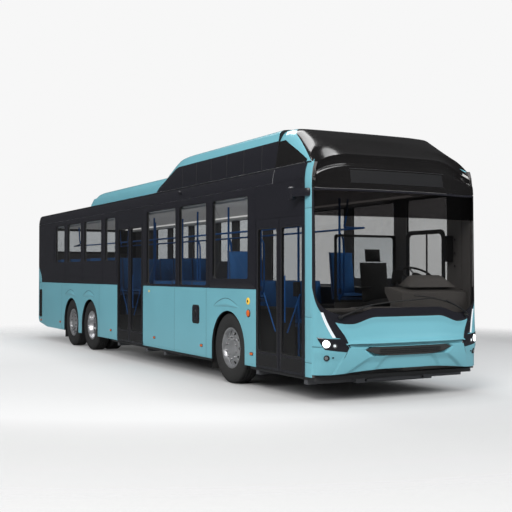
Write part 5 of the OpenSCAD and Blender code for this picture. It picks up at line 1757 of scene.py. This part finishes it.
class BUS_OT_studio(bpy.types.Operator):
    """Camera, pale floor and backdrop, and four large soft lamps"""

    bl_idname = "bus.studio"
    bl_label = "Studio"

    def execute(self, context):
        st = measures()[3]
        scene = context.scene
        scene.view_settings.view_transform = "Standard"
        camera = bpy.data.objects.new("Camera", bpy.data.cameras.new("Camera"))
        scene.collection.objects.link(camera)
        scene.camera = camera
        camera.data.lens, camera.data.sensor_width = st.lens, 36
        camera.data.clip_start, camera.data.clip_end = 0.1, 400
        camera.location = st.eye
        a, e = st.azimuth, st.pitch
        look = Vector((-math.sin(a) * math.cos(e), math.cos(a) * math.cos(e), math.sin(e)))
        camera.rotation_mode = "QUATERNION"
        camera.rotation_quaternion = look.to_track_quat("-Z", "Y")
        for name, place, aim, size, power, colour in (
            ("Key lamp", (13, -9, 9), (2.5, -1, 1.2), (7, 5), st.key_power, (1, 0.99, 0.97)),
            ("Fill lamp", (12, 7, 6), (5, 0, 1.5), (6, 5), st.fill_power, (0.96, 0.98, 1)),
            ("Side lamp", (-3, -13, 6), (-2, -1, 1.2), (10, 3), st.fill_power, (0.98, 0.99, 1)),
            ("Top lamp", (0, 0, 11), (0, 0, 0), (14, 5), st.top_power, (1, 1, 1)),
        ):
            data = bpy.data.lights.new(name, "AREA")
            data.shape, data.size, data.size_y, data.energy, data.color = "RECTANGLE", *size, power, colour
            lamp = bpy.data.objects.new(name, data)
            scene.collection.objects.link(lamp)
            lamp.visible_glossy = name in ("Key lamp", "Top lamp")
            lamp.location = place
            lamp.rotation_mode = "QUATERNION"
            lamp.rotation_quaternion = (Vector(aim) - Vector(place)).to_track_quat("-Z", "Y")
        world = bpy.data.worlds.new("Backdrop")
        scene.world = world
        world.use_nodes = True
        tree = world.node_tree
        tree.nodes.clear()
        rays = node(tree, "ShaderNodeLightPath").outputs
        seen = calc(tree, "MAXIMUM", rays["Is Camera Ray"], rays["Is Transmission Ray"])
        white = node(tree, "ShaderNodeBackground", [("Color", (1, 1, 1, 1))], Strength=st.backdrop)
        dim = ranged(tree, rays["Is Glossy Ray"], To_Min=0.50, To_Max=0.07)
        soft = node(tree, "ShaderNodeBackground", [("Strength", dim), ("Color", (0.95, 0.97, 1.0, 1))])
        both = blend(tree, seen, soft.outputs[0], white.outputs[0])
        tree.links.new(both, node(tree, "ShaderNodeOutputWorld").inputs[0])
        floor = Shape()
        turn, wide = around(96), 60
        rings = [(r, 0.002) for r in np.linspace(0.01, 1, 20) ** 1.5 * wide] + [(wide, 0.05)]
        rows = [np.stack([r * np.cos(turn), r * np.sin(turn), 0 * turn - drop], -1) for r, drop in rings]
        floor.loops(np.array(rows), "lining")
        mesh = bpy.data.meshes.new("Floor")
        mesh.from_pydata(np.concatenate(floor.points).tolist(), [], floor.faces)
        mesh.materials.append(floor_finish(st.backdrop))
        ground = bpy.data.objects.new("Floor", mesh)
        scene.collection.objects.link(ground)
        return {"FINISHED"}


def floor_finish(level):
    """Pale matt floor round the bus that passes into the backdrop further out; mirrors see it darker."""
    made, out = new_material("pale_floor")
    tree = made.node_tree
    place = spot(tree)
    far = node(tree, "ShaderNodeVectorMath", [(0, place)], operation="LENGTH").outputs["Value"]
    fade = ranged(tree, far, From_Min=7.4, From_Max=12.5)
    matt = node(tree, "ShaderNodeBsdfDiffuse", [("Color", (0.52, 0.52, 0.52, 1))])
    along = node(tree, "ShaderNodeSeparateXYZ", [(0, place)]).outputs[0]
    rearward = ranged(tree, along, From_Min=0.0, From_Max=-11.0, To_Max=level * 0.34)
    lit = node(tree, "ShaderNodeEmission", [("Strength", rearward)])
    base = node(tree, "ShaderNodeAddShader", [(0, matt.outputs[0]), (1, lit.outputs[0])]).outputs[0]
    mixed = blend(tree, fade, base, node(tree, "ShaderNodeBsdfTransparent").outputs[0])
    dim = node(tree, "ShaderNodeBsdfDiffuse", [("Color", (0.12, 0.12, 0.12, 1))]).outputs[0]
    glossy = node(tree, "ShaderNodeLightPath").outputs["Is Glossy Ray"]
    tree.links.new(blend(tree, glossy, mixed, dim), out.inputs["Surface"])
    return made


# ---------------------------------------------------------------- panel and start


OPERATORS = (
    BUS_OT_lower_sides, BUS_OT_side_glazing, BUS_OT_roof, BUS_OT_roof_housings, BUS_OT_front_dome,
    BUS_OT_windscreen, BUS_OT_front_panels, BUS_OT_front_lamps, BUS_OT_wipers_and_cameras, BUS_OT_rear_end,
    BUS_OT_rear_hatch, BUS_OT_door_leaves, BUS_OT_side_fittings, BUS_OT_wheels, BUS_OT_seat_pads, BUS_OT_cab,
    BUS_OT_rails, BUS_OT_carried_parts, BUS_OT_studio,
)
GROUPS = (
    ("bus_body", BusBodyMeasures), ("bus_wheels", BusWheelMeasures), ("bus_cabin", BusCabinMeasures),
    ("bus_stage", BusStageMeasures)
)


class BUS_PT_panel(bpy.types.Panel):
    """Lists the bus's measures and the operators that build its pieces"""

    bl_idname = "BUS_PT_panel"
    bl_label = "City Bus"
    bl_space_type = "VIEW_3D"
    bl_region_type = "UI"
    bl_category = "City Bus"

    def draw(self, context):
        for name, group in GROUPS:
            box = self.layout.box()
            box.label(text=group.__doc__)
            for key in group.__annotations__:
                box.prop(getattr(context.scene, name), key)
        for op in OPERATORS:
            self.layout.operator(op.bl_idname)


def register():
    for name, group in GROUPS:
        bpy.utils.register_class(group)
        setattr(bpy.types.Scene, name, PointerProperty(type=group))
    for cls in (*OPERATORS, BUS_PT_panel):
        bpy.utils.register_class(cls)


def unregister():
    for cls in (BUS_PT_panel, *reversed(OPERATORS)):
        bpy.utils.unregister_class(cls)
    for name, group in GROUPS:
        delattr(bpy.types.Scene, name)
        bpy.utils.unregister_class(group)


def main():
    """Registers the add-on and builds every piece in order."""
    register()
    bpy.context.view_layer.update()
    for op in OPERATORS:
        group, name = op.bl_idname.split(".")
        getattr(getattr(bpy.ops, group), name)()
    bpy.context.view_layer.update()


if __name__ == "__main__":
    main()
